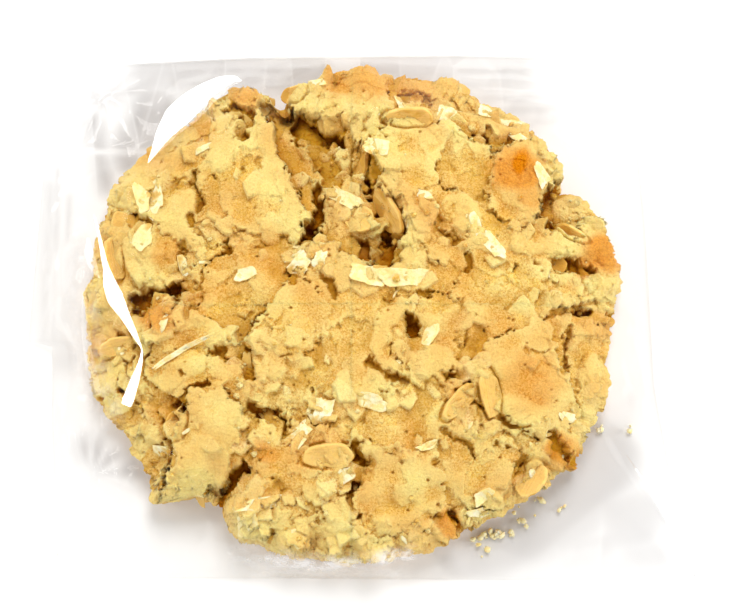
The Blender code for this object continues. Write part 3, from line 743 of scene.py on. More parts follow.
def grid_quads(index):
    """Quads between neighbours in a grid of point numbers."""
    corners = (index[:-1, :-1], index[:-1, 1:], index[1:, 1:], index[1:, :-1])
    return np.stack(corners, axis=-1).reshape(-1, 4)


def ring_quads(index):
    """Quads between neighbours in a stack of closed rings of point numbers."""
    following = np.roll(index, -1, axis=1)
    corners = (index[:-1], index[1:], following[1:], following[:-1])
    return np.stack(corners, axis=-1).reshape(-1, 4)


def ring_faces(rings, columns):
    """Quads between closed rings of points, with a fan of triangles at each end point."""
    index = 1 + np.arange(rings * columns).reshape(rings, columns)
    following = np.roll(index, -1, axis=1)
    last = 1 + rings * columns
    start_fan = np.stack([np.zeros(columns, int), index[0], following[0]], axis=-1)
    end_fan = np.stack([np.full(columns, last), following[-1], index[-1]], axis=-1)
    return ring_quads(index), np.concatenate([start_fan, end_fan])


def repeat_faces(faces, points_each, count):
    """The faces of one copy, shifted for each of many copies."""
    shift = points_each * np.arange(count)[:, None, None]
    return (faces[None] + shift).reshape(-1, faces.shape[1])


def copy_faces(rings, columns, count):
    """The quads and the fans of many copies of one closed form."""
    points_each = rings * columns + 2
    return [repeat_faces(faces, points_each, count) for faces in ring_faces(rings, columns)]


def close_rings(local):
    """The points of many copies, where the first and last ring of each shrink to one point."""
    ends = local[:, [0, -1]].mean(axis=2)
    between = local[:, 1:-1].reshape(len(local), -1, 3)
    return np.concatenate([ends[:, :1], between, ends[:, 1:]], axis=1)


def make_piece(name, points, faces, finish, masks=None, normals=None, stands_for=None):
    """A mesh object from plan points in millimetres, its faces, masks and, if given, normals."""
    mesh = bpy.data.meshes.new(name)
    placed = (points - np.array([*BAG_CENTRE, 0.0])) * MM
    polygons = [polygon for group in faces for polygon in group.tolist()]
    mesh.from_pydata(placed.tolist(), [], polygons)
    for mask_name, values in (masks or {}).items():
        attribute = mesh.attributes.new(mask_name, "FLOAT", "POINT")
        attribute.data.foreach_set("value", np.ascontiguousarray(values, dtype=np.float32).ravel())
    mesh.shade_smooth()
    if normals is not None:
        mesh.normals_split_custom_set_from_vertices(normals.tolist())
    mesh.materials.append(finish)
    piece = bpy.data.objects.new(name, mesh)
    bpy.context.scene.collection.objects.link(piece)
    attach(piece, "root")
    if stands_for:
        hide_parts(stands_for)
    if stands_for == "cookie":
        cookie_points.append(points)
    mesh.calc_loop_triangles()
    lowest, highest = points[:, 2].min(), points[:, 2].max()
    print(f"{name}: {len(mesh.loop_triangles)} triangles, {lowest:.2f} to {highest:.2f} mm high")
    return piece


# %% [markdown]
# ## Shader maths as expressions
#
# A finish is worked out from masks and noise. Wrapping a socket in a small class lets that be
# written as arithmetic, and each operator adds its own Math node.


# %% A socket that does arithmetic, and a maker of finishes
class Signal:
    """A number or a colour on its way through a shader."""

    def __init__(self, finish, socket):
        self.finish = finish
        self.socket = socket

    def math(self, operation, *others):
        """Adds a Math node that takes this signal first."""
        values = dict(enumerate((self, *others)))
        return self.finish.node("ShaderNodeMath", {"operation": operation}, values)

    def __add__(self, other):
        return self.math("ADD", other)

    def __sub__(self, other):
        return self.math("SUBTRACT", other)

    def __rsub__(self, other):
        return self.finish.node("ShaderNodeMath", {"operation": "SUBTRACT"}, {0: other, 1: self})

    def __mul__(self, other):
        return self.math("MULTIPLY", other)

    def __pow__(self, other):
        return self.math("POWER", other)

    __radd__ = __add__
    __rmul__ = __mul__

    def between(self, low, high):
        """0 at low, 1 at high, and a straight ramp between them."""
        sockets = {"Value": self, "From Min": low, "From Max": high}
        return self.finish.node("ShaderNodeMapRange", {"clamp": True}, sockets, "Result")


class Finish:
    """A material under construction: its nodes, and the shader that they end in."""

    def __init__(self, name):
        self.material = bpy.data.materials.new(name)
        self.material.use_nodes = True
        self.tree = self.material.node_tree
        self.shader = self.tree.nodes["Principled BSDF"]
        self.place = self.node("ShaderNodeTexCoord", {}, {}, "Object")

    def feed(self, socket, value):
        """Links a signal to a socket, or sets a plain value on it."""
        if isinstance(value, Signal):
            self.tree.links.new(value.socket, socket)
        elif socket.type == "RGBA":
            socket.default_value = (*value, 1.0)
        else:
            socket.default_value = value

    def node(self, kind, settings, sockets, output=0):
        """Adds one node: its settings, then its sockets' values or links, and gives an output."""
        made = self.tree.nodes.new(kind)
        for key, value in settings.items():
            setattr(made, key, value)
        for key, value in sockets.items():
            self.feed(made.inputs[key], value)
        return Signal(self, made.outputs[output])

    def mask(self, name):
        """The values that a piece's points carry under this name."""
        return self.node("ShaderNodeAttribute", {"attribute_name": name}, {}, "Fac")

    def grain(self, size_mm, detail=3.0, roughness=0.55):
        """Noise of about 0 to 1 whose bumps are size_mm apart."""
        sockets = {"Vector": self.place, "Scale": 1 / (size_mm * MM)}
        sockets |= {"Detail": detail, "Roughness": roughness}
        return self.node("ShaderNodeTexNoise", {}, sockets, "Fac")

    def mix(self, share, first, second):
        """A colour between two colours. Sockets 6 and 7 are the colour ones of a Mix node."""
        sockets = {"Factor": share, 6: first, 7: second}
        return self.node("ShaderNodeMix", {"data_type": "RGBA"}, sockets, 2)

    def bump(self, height, depth_mm, below=None):
        """A normal bent by a height of depth_mm, on top of another bump if there is one."""
        sockets = {"Height": height, "Distance": depth_mm * MM}
        if below:
            sockets["Normal"] = below
        return self.node("ShaderNodeBump", {}, sockets, "Normal")

    def set(self, **sockets):
        """Values or signals for the shader's sockets, named with _ for a space."""
        for key, value in sockets.items():
            self.feed(self.shader.inputs[key.replace("_", " ")], value)
        return self.material


def tint(red, green, blue):
    """A colour given as it looks on a screen, 0 to 255, turned into light."""
    values = [value / 255 for value in (red, green, blue)]
    return tuple(v / 12.92 if v <= 0.04045 else ((v + 0.055) / 1.055) ** 2.4 for v in values)


# %% [markdown]
# ## The finish of the dough
#
# Baked dough is matt and lets a little light in, which warms its shadows. Its colour runs from
# pale cream on the crumb through gold on the skin to orange brown where it is toasted. Shade is
# painted in as well, darker gold in low places down to a deep brown in the crevices, and highlight
# is painted pale cream on raised edges. The masks say where, and two grains of noise break them up.


# %% Dough
def dough_finish(name):
    """Baked dough: pale crumb or golden skin, spotted, browned, then painted shade and highlight by
    depth.
    """
    finish = Finish(name)
    skin, painted_shade_and_highlight, toast = finish.mask("skin"), finish.mask("painted_shade_and_highlight"), finish.mask("toast")
    inside, pale, oat = finish.mask("inside"), finish.mask("pale"), finish.mask("oat")
    yolk = finish.mask("yolk")
    mottle = finish.grain(5.0, 3.0).between(0.36, 0.64)
    patch = finish.grain(2.4, 3.0).between(0.42, 0.62)
    speck = finish.grain(0.36, 2.0, 0.75).between(0.40, 0.60)
    dust = finish.grain(0.38, 2.0, 0.85).between(0.50, 0.62)
    gold = finish.mix(mottle, tint(240, 188, 90), tint(250, 213, 116))
    crumb = finish.mix(mottle, tint(240, 198, 106), tint(252, 224, 140))
    colour = finish.mix(skin, crumb, gold)
    colour = finish.mix(finish.grain(6.5, 2.0).between(0.50, 0.64) * 0.65, colour, tint(255, 212, 92))
    colour = finish.mix(finish.grain(4.2, 3.0).between(0.52, 0.66) * 0.70, colour, tint(222, 176, 92))
    colour = finish.mix(patch * 0.40, colour, tint(222, 182, 98))
    colour = finish.mix(pale, colour, finish.mix(mottle, tint(252, 226, 146), tint(255, 240, 182)))
    colour = finish.mix(oat * 0.6, colour, finish.mix(speck, tint(230, 178, 86), tint(244, 204, 112)))
    colour = finish.mix(yolk * 0.6, colour, tint(252, 212, 96))
    colour = finish.mix(speck * 0.55, colour, tint(255, 236, 162))
    colour = finish.mix(dust * 0.66, colour, tint(204, 142, 44))
    # Painted highlight: points that stand above their surroundings, such as raised edges, turn pale
    # cream.
    colour = finish.mix(painted_shade_and_highlight.between(-0.06, -0.40) * 0.65, colour, tint(255, 234, 152))
    toasted = finish.mix(speck, tint(212, 120, 4), tint(236, 150, 22))
    colour = finish.mix(toast, colour, toasted)
    # Painted shade: low places turn darker gold, points far down in a crevice, crack or pore turn
    # orange brown, and the lowest turn deep brown.
    colour = finish.mix(painted_shade_and_highlight.between(0.05, 0.8) * 0.62, colour, tint(214, 158, 44))
    colour = finish.mix(inside.between(0.5, 2.6) * 0.70, colour, tint(204, 146, 4))
    colour = finish.mix(painted_shade_and_highlight.between(1.0, 2.6) * 0.92, colour, tint(166, 94, 0))
    relief = finish.bump(finish.grain(0.42, 3.0, 0.80), 0.58)
    relief = finish.bump(finish.grain(0.9, 2.0).between(0.26, 0.38), 0.14, relief)
    return finish.set(
        Base_Color=colour,
        Roughness=0.8,
        Specular_IOR_Level=0.05,
        Specular_Tint=(1.0, 0.8, 0.4),
        Subsurface_Weight=0.45,
        Subsurface_Radius=Vector((1.0, 0.9, 0.8)),
        Subsurface_Scale=0.7 * MM,
        Normal=relief,
    )


baked = dough_finish("baked_dough")

# %% [markdown]
# ## The crust
#
# A square grid is bent into the disc: squares become rings, so the points are spread evenly and
# the outermost ring follows the outline. The rings crowd towards the side, which drops steeply,
# then tuck in under the foot. The grid is so fine that it is cut into four closed quarters, and
# all of them take their normals from the whole grid, so that no seam shows.

# %% The crust's surface
QUARTER_CELLS = 285
BASE_LIFT = 0.25  # the lower film lies under the base
SIDE_TOP = 10.5
SIDE_UNFOLD = 0.8
CLIFF_PUSH = 0.40


def disc_from_square(u, v):
    """The share of the radius is the larger coordinate, and the angle runs along each side."""
    share = np.maximum(np.abs(u), np.abs(v))
    safe = np.where(share == 0, 1, share)
    quarter = math.pi / 4
    along_x = np.where(u >= 0, 0.0, math.pi) + quarter * v / safe * np.sign(u)
    along_y = math.pi / 2 * np.sign(v) - quarter * u / safe * np.sign(v)
    return share, np.where(np.abs(u) >= np.abs(v), along_x, along_y)


def crust_surface(u, v):
    """Points for the square: the map over the top, then a lumpy side, then the tucked foot.

    Down the steep side the plan point hardly moves. The masks and the fine relief are read
    farther in by the way down, so that they aren't drawn out into streaks there. The walls of
    the crevices are pushed sideways by noise instead, by up to CLIFF_PUSH.
    """
    share, angle = disc_from_square(u, v)
    radius = outline_radius(angle)
    top_share = np.clip(share / TOP_SHARE, 0, 1)
    plan_share = np.sin(top_share * math.pi / 2) ** 0.45 * top_share**0.55
    x, y = plan_share * radius * np.cos(angle), plan_share * radius * np.sin(angle)
    z = np.where(share > TOP_SHARE, FOOT_HEIGHT, np.maximum(read_map(map_height, x, y), FOOT_HEIGHT))
    below = smooth_step(TOP_SHARE, 1.0, share)
    side = smooth_step(0.78, 0.93, share)
    around = angle * COOKIE_LENGTH / 2
    folded = 1 - SIDE_UNFOLD * np.clip(SIDE_TOP - z, 0, None) * side / radius
    detail = np.clip(read_map(map_height - smooth_height, x * folded, y * folded), -0.5, 0.5)
    lump, seam, _, _ = chunks(around, 1.6 * z + 0.3 * noise(around, z, 3.0, 35), 3.0, 36)
    bulge = SIDE_LUMPS * noise(x + 1.7 * z, y + 2.3 * z, 4.2, 33) + 0.35 * lump
    bulge = bulge - 0.4 * np.exp(-seam / 0.10) + 0.3 * noise(around, 2.0 * z, 1.1, 34) + 0.7 * detail
    tuck = 1 - FOOT_TUCK * below**1.5 / radius + side * bulge / radius
    steep = np.hypot(read_map(slope_x, x, y), read_map(slope_y, x, y))
    pushed = CLIFF_PUSH * smooth_step(0.5, 1.4, steep) * (1 - side)
    push_x = pushed * noise(x + 1.1 * z, y - 0.7 * z, 1.5, 37)
    push_y = pushed * noise(x - 0.7 * z, y + 1.1 * z, 1.5, 38)
    z = np.where(share > TOP_SHARE, FOOT_HEIGHT * (1 - below), z)
    placed = np.stack([x * tuck + push_x, y * tuck + push_y, np.maximum(z, BASE_LIFT)], axis=-1)
    return placed, x * folded, y * folded


axis = np.linspace(-1, 1, 2 * QUARTER_CELLS + 1)
u_grid, v_grid = np.meshgrid(axis, axis)
top, top_x, top_y = crust_surface(u_grid, v_grid)
run_v, run_u = np.gradient(top, axis=(0, 1))
top_normals = np.cross(run_u, run_v)
top_normals /= np.maximum(np.linalg.norm(top_normals, axis=-1, keepdims=True), 1e-9)
rim_share = np.maximum(np.abs(u_grid), np.abs(v_grid))
toast = toasting(top_x, top_y)
low_side = smooth_step(7.5, 1.5, top[..., 2]) * smooth_step(0.85, 0.97, rim_share)
# The crevice depth and how low each point lies go to the finish, which paints shade and highlight with
# them.
crust_masks = {
    "skin": read_map(map_skin, top_x, top_y),
    "inside": read_map(map_depth_for_painted_shade, top_x, top_y),
    "painted_shade_and_highlight": read_map(map_painted_shade_and_highlight, top_x, top_y),
    "toast": np.maximum(toast, 0.5 * low_side),
    "pale": read_map(map_pale, top_x, top_y),
    "yolk": read_map(map_yolk, top_x, top_y),
    "oat": read_map(map_oat, top_x, top_y),
}

# %% [markdown]
# ## Closing each quarter
#
# The border of a quarter is one loop. It drops to the base and shrinks in rings to a point in the
# middle of it. Where the crust is cut, the loop's points are spread along the base from the middle
# of the cookie to just short of its foot, so that nothing shows under the overhang of the side.

# %% Four closed quarters
BASE_SHARES = (0.0, 0.06, 0.2, 0.4, 0.6, 0.8)
CUT_REACH = 0.985


def make_quarter(name, rows, columns):
    """One quarter of the grid as a closed solid: its own top, then loops across the base."""
    block = top[rows, columns]
    count = block.shape[0]
    index = np.arange(count * count).reshape(count, count)
    border = np.concatenate([index[0, :-1], index[:-1, -1], index[-1, :0:-1], index[:0:-1, 0]])
    loop = block.reshape(-1, 3)[border]
    share = rim_share[rows, columns].ravel()[border]
    on_rim = share > 0.999
    middle = np.array([*loop[:, :2].mean(axis=0), BASE_LIFT])
    reach = np.hypot(loop[:, 0], loop[:, 1])
    foot_x = reach[on_rim][np.argmin(np.abs(loop[on_rim, 1]))]
    foot_y = reach[on_rim][np.argmin(np.abs(loop[on_rim, 0]))]
    foot = np.where(np.abs(loop[:, 0]) > np.abs(loop[:, 1]), foot_x, foot_y)
    pulled = np.where(on_rim, 1.0, CUT_REACH * share * foot / np.maximum(reach, 1e-9))
    flat = loop * (1, 1, 0) * pulled[:, None] + (0, 0, BASE_LIFT)
    first = np.where(on_rim[:, None], 0.02, 0.0)
    loops = [flat + (middle - flat) * np.maximum(first, inwards) for inwards in BASE_SHARES]
    below = np.concatenate([*loops, middle[None]])
    base_index = count * count + np.arange(len(loops) * len(border)).reshape(len(loops), -1)
    walls = ring_quads(np.concatenate([border[None], base_index]))
    tip = np.full(len(border), base_index.max() + 1)
    fan = np.stack([np.roll(base_index[-1], -1), base_index[-1], tip], axis=-1)
    points = np.concatenate([block.reshape(-1, 3), below])
    down = np.tile([0.0, 0.0, -1.0], (len(below), 1))
    normals = np.concatenate([top_normals[rows, columns].reshape(-1, 3), down])
    masks = {
        key: np.concatenate([values[rows, columns].ravel(), np.zeros(len(below))])
        for key, values in crust_masks.items()
    }
    masks["toast"][count * count :] = 0.5 + 0.25 * noise(below[:, 0], below[:, 1], 6.0, 82)
    faces = (grid_quads(index), walls, fan)
    return make_piece(name, points, faces, baked, masks, normals, "cookie")


lower_half, upper_half = slice(0, QUARTER_CELLS + 1), slice(QUARTER_CELLS, None)
make_quarter("crust_front_left", lower_half, lower_half)
make_quarter("crust_front_right", lower_half, upper_half)
make_quarter("crust_rear_left", upper_half, lower_half)
make_quarter("crust_rear_right", upper_half, upper_half)

# %% [markdown]
# ## Flakes
#
# A rolled oat is an oval pressed flat, cupped, with a faint crease along its middle. A coconut
# chip is a shaving: an uneven four-sided plate half a millimetre thick, bent and cupped. Both are the
# same closed form of rings with other numbers: the plan radius at each angle, the bend along and
# across, and the thickness, which rounds off only at the edge. A flake that is repeated hundreds
# of times takes the short list of rings, so that it has a few dozen faces.

# %% Closed rings for many flakes at once
FINE_RINGS = (
    np.array([0, 0.3, 0.6, 0.82, 0.94, 0.99, 1.0, 1.0, 0.99, 0.94, 0.6, 0.3, 0]),
    np.array([1, 1.0, 1.0, 1.0, 0.98, 0.8, 0.4, -0.4, -0.8, -0.98, -1.0, -1.0, -1]),
)
PLAIN_RINGS = (
    np.array([0, 0.6, 0.95, 1.0, 0.95, 0]),
    np.array([1, 1.0, 0.9, 0.0, -0.9, -1]),
)
FLAKE_SIDES = 4
FLAKE_REACH = 1.25
FLAKE_FLOOR = 0.3
FLAKE_CEILING = 17.7
MOST_LEAN = 0.7
CHIPPED_COLUMNS = 20


def turn_about(points, first, second, degrees):
    """Turns points from one axis towards another, by an angle for each copy."""
    angle = np.radians(degrees).reshape((-1,) + (1,) * (points.ndim - 2))
    turned = points.copy()
    turned[..., first] = np.cos(angle) * points[..., first] - np.sin(angle) * points[..., second]
    turned[..., second] = np.sin(angle) * points[..., first] + np.cos(angle) * points[..., second]
    return turned


def flake_shapes(table, columns, rings, angular, bend, cup, thick, crease, seed):
    """Closed plates for a table of flakes: x, y, length, width, heading, tilt and roll.

    The plan radius is 1 plus slow waves, pulled towards an irregular polygon by angular. The
    height bends with the square of the way along and cups with the square of the way across.
    Only an outline of many columns is chipped as well.
    """
    draw = np.random.default_rng(seed)
    table = np.asarray(table, dtype=float)
    count = len(table)
    angle = np.arange(columns) * TAU / columns
    facing = np.arange(FLAKE_SIDES) + 0.60 * (draw.random((count, FLAKE_SIDES)) - 0.5)
    facing = facing * TAU / FLAKE_SIDES
    reach = 0.68 + 0.40 * draw.random((count, FLAKE_SIDES))
    toward = np.cos(angle[None, None] - facing[..., None])
    polygon = np.where(toward > 0.15, reach[..., None] / np.maximum(toward, 0.15), 9.0).min(axis=1)
    polygon = np.minimum(polygon, FLAKE_REACH)
    slow = 1 + 0.06 * np.sin(3 * angle + TAU * draw.random((count, 1)))
    slow = slow + 0.04 * np.sin(5 * angle + TAU * draw.random((count, 1)))
    notches = np.repeat(draw.random((count, math.ceil(columns / 4))), 4, axis=1)[:, :columns]
    chipped = 0.10 * (draw.random((count, columns)) - 0.5) + 0.22 * (notches - 0.6)
    polygon = polygon + chipped * (columns > CHIPPED_COLUMNS)
    plan = slow * (1 - angular) + polygon * angular
    shares, sides = rings
    reach = shares[None, :, None] * plan[:, None, :]
    local = np.zeros((count, len(shares), columns, 3))
    local[..., 0] = reach * np.cos(angle) * table[:, 2, None, None] / 2
    local[..., 1] = reach * np.sin(angle) * table[:, 3, None, None] / 2
    across = reach * np.sin(angle)
    bent = bend * (2 * draw.random((count, 1, 1)) - 0.6) * local[..., 0] ** 2 / table[:, 2, None, None]
    cupped = cup * (0.5 + draw.random((count, 1, 1))) * local[..., 1] ** 2 / table[:, 3, None, None]
    wavy = 0.14 * np.sin(1.5 * local[..., 0] + 0.9 * local[..., 1] + TAU * draw.random((count, 1, 1)))
    line = crease * np.exp(-((across / 0.10) ** 2)) * (1 - shares[None, :, None] ** 2)
    local[..., 2] = bent + cupped + wavy - line + thick / 2 * sides[None, :, None]
    local = turn_about(local, 1, 2, table[:, 6])
    local = turn_about(local, 0, 2, table[:, 5])
    local = turn_about(local, 0, 1, table[:, 4])
    edge = np.broadcast_to(shares[None, 1:-1, None], across[:, 1:-1].shape).reshape(count, -1)
    across = across[:, 1:-1].reshape(count, -1)
    zero = np.zeros((count, 1))
    return close_rings(local), np.hstack([zero, edge, zero]), np.hstack([zero, across, zero])


def between_films(points):
    """Each copy moved up or down as a whole, so that it lies between the two films."""
    too_high = np.maximum(points[..., 2].max(axis=1) - FLAKE_CEILING, 0)
    too_low = np.maximum(FLAKE_FLOOR - points[..., 2].min(axis=1), 0)
    moved = points.copy()
    moved[..., 2] += (too_low - too_high)[:, None]
    return moved


def lay_on_crust(points, table, lift, follow):
    """Moves each copy to its place, leaning with the crust's slope by the share follow."""
    table = np.asarray(table, dtype=float)
    x, y = table[:, 0], table[:, 1]
    lean_x = np.clip(read_map(slope_x, x, y) * follow, -MOST_LEAN, MOST_LEAN)
    lean_y = np.clip(read_map(slope_y, x, y) * follow, -MOST_LEAN, MOST_LEAN)
    laid = points.copy()
    laid[..., 2] += points[..., 0] * lean_x[:, None] + points[..., 1] * lean_y[:, None]
    laid[..., 0] += x[:, None]
    laid[..., 1] += y[:, None]
    laid[..., 2] += (read_map(smooth_height, x, y) + lift)[:, None]
    return between_films(laid)


def make_flakes(name, table, finish, columns, rings, lift, follow=0.0, **shape):
    """One piece that holds every flake of a table."""
    points, edge, across = flake_shapes(table, columns, rings, **shape)
    points = lay_on_crust(points, table, lift, follow)
    count, each = points.shape[:2]
    faces = copy_faces(len(rings[0]) - 2, columns, count)
    tone = np.repeat(np.random.default_rng(count).random(count), each)
    flat = points.reshape(-1, 3)
    # How low each point lies against its surroundings, for the painted shade of the oats and coconut.
    deep = read_map(map_painted_shade_and_highlight, flat[:, 0], flat[:, 1])
    masks = {"edge": edge, "across": across, "tone": tone, "painted_shade_and_highlight": deep}
    return make_piece(name, flat, faces, finish, masks, stands_for="cookie")


def stand_height(table, sink, thick):
    """How high a flake's middle is: it rises where the flake is rolled on edge."""
    table = np.asarray(table, dtype=float)
    return thick * (0.5 - sink) + 0.225 * table[:, 3] * np.sin(np.radians(np.abs(table[:, 6])))


# %% [markdown]
# ## Rolled oats
#
# The oats that show are the part's own, each at its place, heading and roll. Oat is a warmer tan
# than the dough, with fine streaks along the flake and a pale thin rim.

# %% Oat flakes and their finish
def oat_finish():
    """Rolled oat: tan with fine streaks along it, a pale rim, and bits of crust stuck on."""
    finish = Finish("rolled_oat")
    edge, across, tone = finish.mask("edge"), finish.mask("across"), finish.mask("tone")
    streak_place = finish.node("ShaderNodeCombineXYZ", {}, {"X": across * 9, "Y": tone * 40})
    streak_sockets = {"Vector": streak_place, "Scale": 1.0, "Detail": 3.0}
    streak = finish.node("ShaderNodeTexNoise", {}, streak_sockets, "Fac").between(0.3, 0.7)
    cloud = finish.grain(1.4).between(0.35, 0.65)
    colour = finish.mix(streak, tint(202, 156, 76), tint(230, 190, 112))
    colour = finish.mix(cloud * 0.4, colour, tint(240, 202, 122))
    bran = finish.grain(0.38, 3.0, 0.75).between(0.40, 0.62)
    colour = finish.mix(bran * 0.4, colour, tint(244, 204, 122))
    colour = finish.mix(tone.between(0.6, 1.0) * 0.5, colour, tint(206, 148, 52))
    crusted = finish.grain(1.8, 4.0, 0.7).between(0.50, 0.56)
    colour = finish.mix(crusted * 0.5, colour, tint(238, 196, 104))
    colour = finish.mix(edge.between(0.80, 0.97) * 0.45, colour, tint(250, 216, 130))
    # Painted shade: darker tan where the flake lies low against its surroundings.
    colour = finish.mix(finish.mask("painted_shade_and_highlight").between(0.2, 1.2) * 0.7, colour, tint(206, 152, 52))
    relief = finish.bump(streak, 0.05)
    relief = finish.bump(finish.grain(0.6, 3.0, 0.65), 0.16, relief)
    return finish.set(
        Base_Color=colour,
        Roughness=0.65,
        Specular_IOR_Level=0.2,
        Subsurface_Weight=0.2,
        Subsurface_Radius=Vector((1.0, 0.5, 0.18)),
        Subsurface_Scale=1.0 * MM,
        Normal=relief,
    )


oat_material = oat_finish()
make_flakes(
    "oat_flakes", OATS, oat_material, 48, FINE_RINGS, stand_height(OATS, 0.80, 1.0),
    angular=0.30, bend=0.12, cup=0.30, thick=0.9, crease=0.06, seed=5,
)  # fmt: skip

# %% [markdown]
# ## Coconut
#
# Most of the chips lie where the part has them. Coconut is nearly white, a little see-through,
# and turns straw yellow where it toasts.

# %% Coconut chips and their finish
# In the same form as the oats.
CHIPS = (
    (4.7, 28.0, 4.7, 3.2, -12, 8, 0),
    (-34.6, 19.8, 8.0, 2.6, -84, -6, 16),
    (-37.0, 19.2, 7.2, 2.6, -79, -8, -6),
    (-37, 12.2, 5.6, 4.0, 30, 10, 8),
    (-8.8, 7.4, 4.6, 3.4, 60, 12, 0),
    (-5.4, 7.6, 3.6, 2.2, 78, 8, 0),
    (-18.3, 5.2, 3.8, 2.2, 10, 8, 0),
    (-6.6, 10.4, 4.0, 1.8, -10, 10, 0),
    (3.6, 4.9, 7.8, 4.0, -14, 5, 8),
    (9.8, 4.5, 8.6, 4.0, 6, 4, 4),
    (-1.4, 19.4, 7.6, 2.8, -38, 8, 14),
    (16.5, 34.6, 3.8, 3.4, 60, 14, 0),
    (19.6, 34.6, 4.2, 3.2, -62, -12, 0),
    (29, 32.8, 6.6, 4.4, -34, 0, 10),
    (24.2, 36.0, 3.0, 2.6, 0, 0, 0),
    (19.2, 41.2, 4.4, 3.2, -30, 0, 12),
    (8.6, 36.8, 3.4, 1.4, -70, 8, 0),
    (-6.4, 41.2, 3.4, 1.8, -10, 6, 0),
    (-15.6, 37.2, 3.8, 2.2, 52, 8, 0),
    (24.2, 10.6, 6.2, 2.8, -54, 6, 14),
    (13.4, -6.0, 5.6, 2.2, 66, 10, -16),
    (-5.0, -18.6, 5.8, 3.6, 70, 8, 6),
    (-9.0, -22.6, 5.4, 3.4, 40, 10, 0),
    (3.6, -17.0, 5.8, 2.8, -8, 6, 6),
    (13.0, -24.4, 4.2, 1.6, 20, 8, 0),
    (-13.6, -33.8, 10.8, 2.4, 8, 4, 8),
    (-26.8, -32.2, 4.8, 1.4, -76, -16, 0),
    (-18.0, -9.6, 3.6, 2.0, 84, 20, 0),
    (-1.0, -29.6, 3.4, 2.6, 20, 8, 0),
    (-30.4, -8.4, 13.5, 0.9, 29, 0, 20),
    (22.6, -33.0, 4.4, 2.2, 30, -6, 10),
    (22.0, -35.6, 3.6, 1.6, 8, -6, 14),
    (-18.0, -37.4, 4.4, 4.0, 30, 6, 0),
    (12.4, 19.4, 4.0, 1.6, -14, 12, 0),
    (33.4, 22.8, 4.6, 2.4, -66, 0, 16),
)


def coconut_finish():
    """Coconut: cream to white, straw yellow at its edges, and painted darker as shade where it lies
    low.
    """
    finish = Finish("toasted_coconut")
    edge, tone = finish.mask("edge"), finish.mask("tone")
    cloud = finish.grain(1.6).between(0.35, 0.7)
    colour = finish.mix(cloud, tint(253, 234, 168), tint(255, 247, 214))
    crusted = finish.grain(1.5, 4.0, 0.7).between(0.50, 0.57)
    colour = finish.mix(crusted * 0.65, colour, tint(248, 214, 128))
    colour = finish.mix(tone.between(0.3, 1.0) * 0.55, colour, tint(252, 222, 140))
    colour = finish.mix(edge.between(0.86, 1.0) * 0.3, colour, tint(246, 208, 116))
    # Painted shade: darker straw where the chip lies low against its surroundings.
    colour = finish.mix(finish.mask("painted_shade_and_highlight").between(0.2, 1.0) * 0.8, colour, tint(216, 168, 70))
    return finish.set(
        Base_Color=colour,
        Roughness=0.5,
        Specular_IOR_Level=0.3,
        Subsurface_Weight=0.3,
        Subsurface_Radius=Vector((1.0, 0.7, 0.4)),
        Subsurface_Scale=1.2 * MM,
        Normal=finish.bump(finish.grain(0.7, 3.0, 0.7), 0.35),
    )


coconut_material = coconut_finish()
make_flakes(
    "coconut_chips", CHIPS, coconut_material, 44, FINE_RINGS, stand_height(CHIPS, 0.3, 0.9),
    follow=0.8, angular=1.0, bend=0.50, cup=0.30, thick=0.45, crease=0.0, seed=6,
)  # fmt: skip

# %% [markdown]
# ## Shreds and crumbs
#
# Thin coconut shreds and small crumbs stick out of the broken crumb. They are scattered by a
# seeded draw that keeps nearly all of them off the smooth skin. A crumb is a small faceted stone:
# a ball of few faces whose radius is uneven.


# %% Scattered shreds and crumbs
def scatter(count, seed, on_skin, reach=0.95):
    """Plan points inside the outline, a share on_skin of those that would fall on the skin."""
    draw = np.random.default_rng(seed)
    angle = draw.random(count * 4) * TAU
    radius = np.sqrt(draw.random(count * 4)) * reach * outline_radius(angle)
    x, y = radius * np.cos(angle), radius * np.sin(angle)
    keep = draw.random(count * 4) < np.where(read_map(map_skin, x, y) > 0.5, on_skin, 1.0)
    return np.column_stack([x, y])[keep][:count]


shred_place = scatter(40, 101, 0.03)
shred_draw = np.random.default_rng(102)
shred_count = len(shred_place)
shred_length = 1.6 + 2.6 * shred_draw.random(shred_count) ** 2
shreds = np.column_stack([
    shred_place,
    shred_length,
    shred_length * (0.22 + 0.35 * shred_draw.random(shred_count)),
    360 * shred_draw.random(shred_count),
    40 * (shred_draw.random(shred_count) - 0.5),
    50 * (shred_draw.random(shred_count) - 0.5),
])  # fmt: skip
make_flakes(
    "coconut_shreds", shreds, coconut_material, 10, PLAIN_RINGS, 0.15,
    follow=1.0, angular=1.0, bend=0.3, cup=0.1, thick=0.30, crease=0.0, seed=8,
)  # fmt: skip


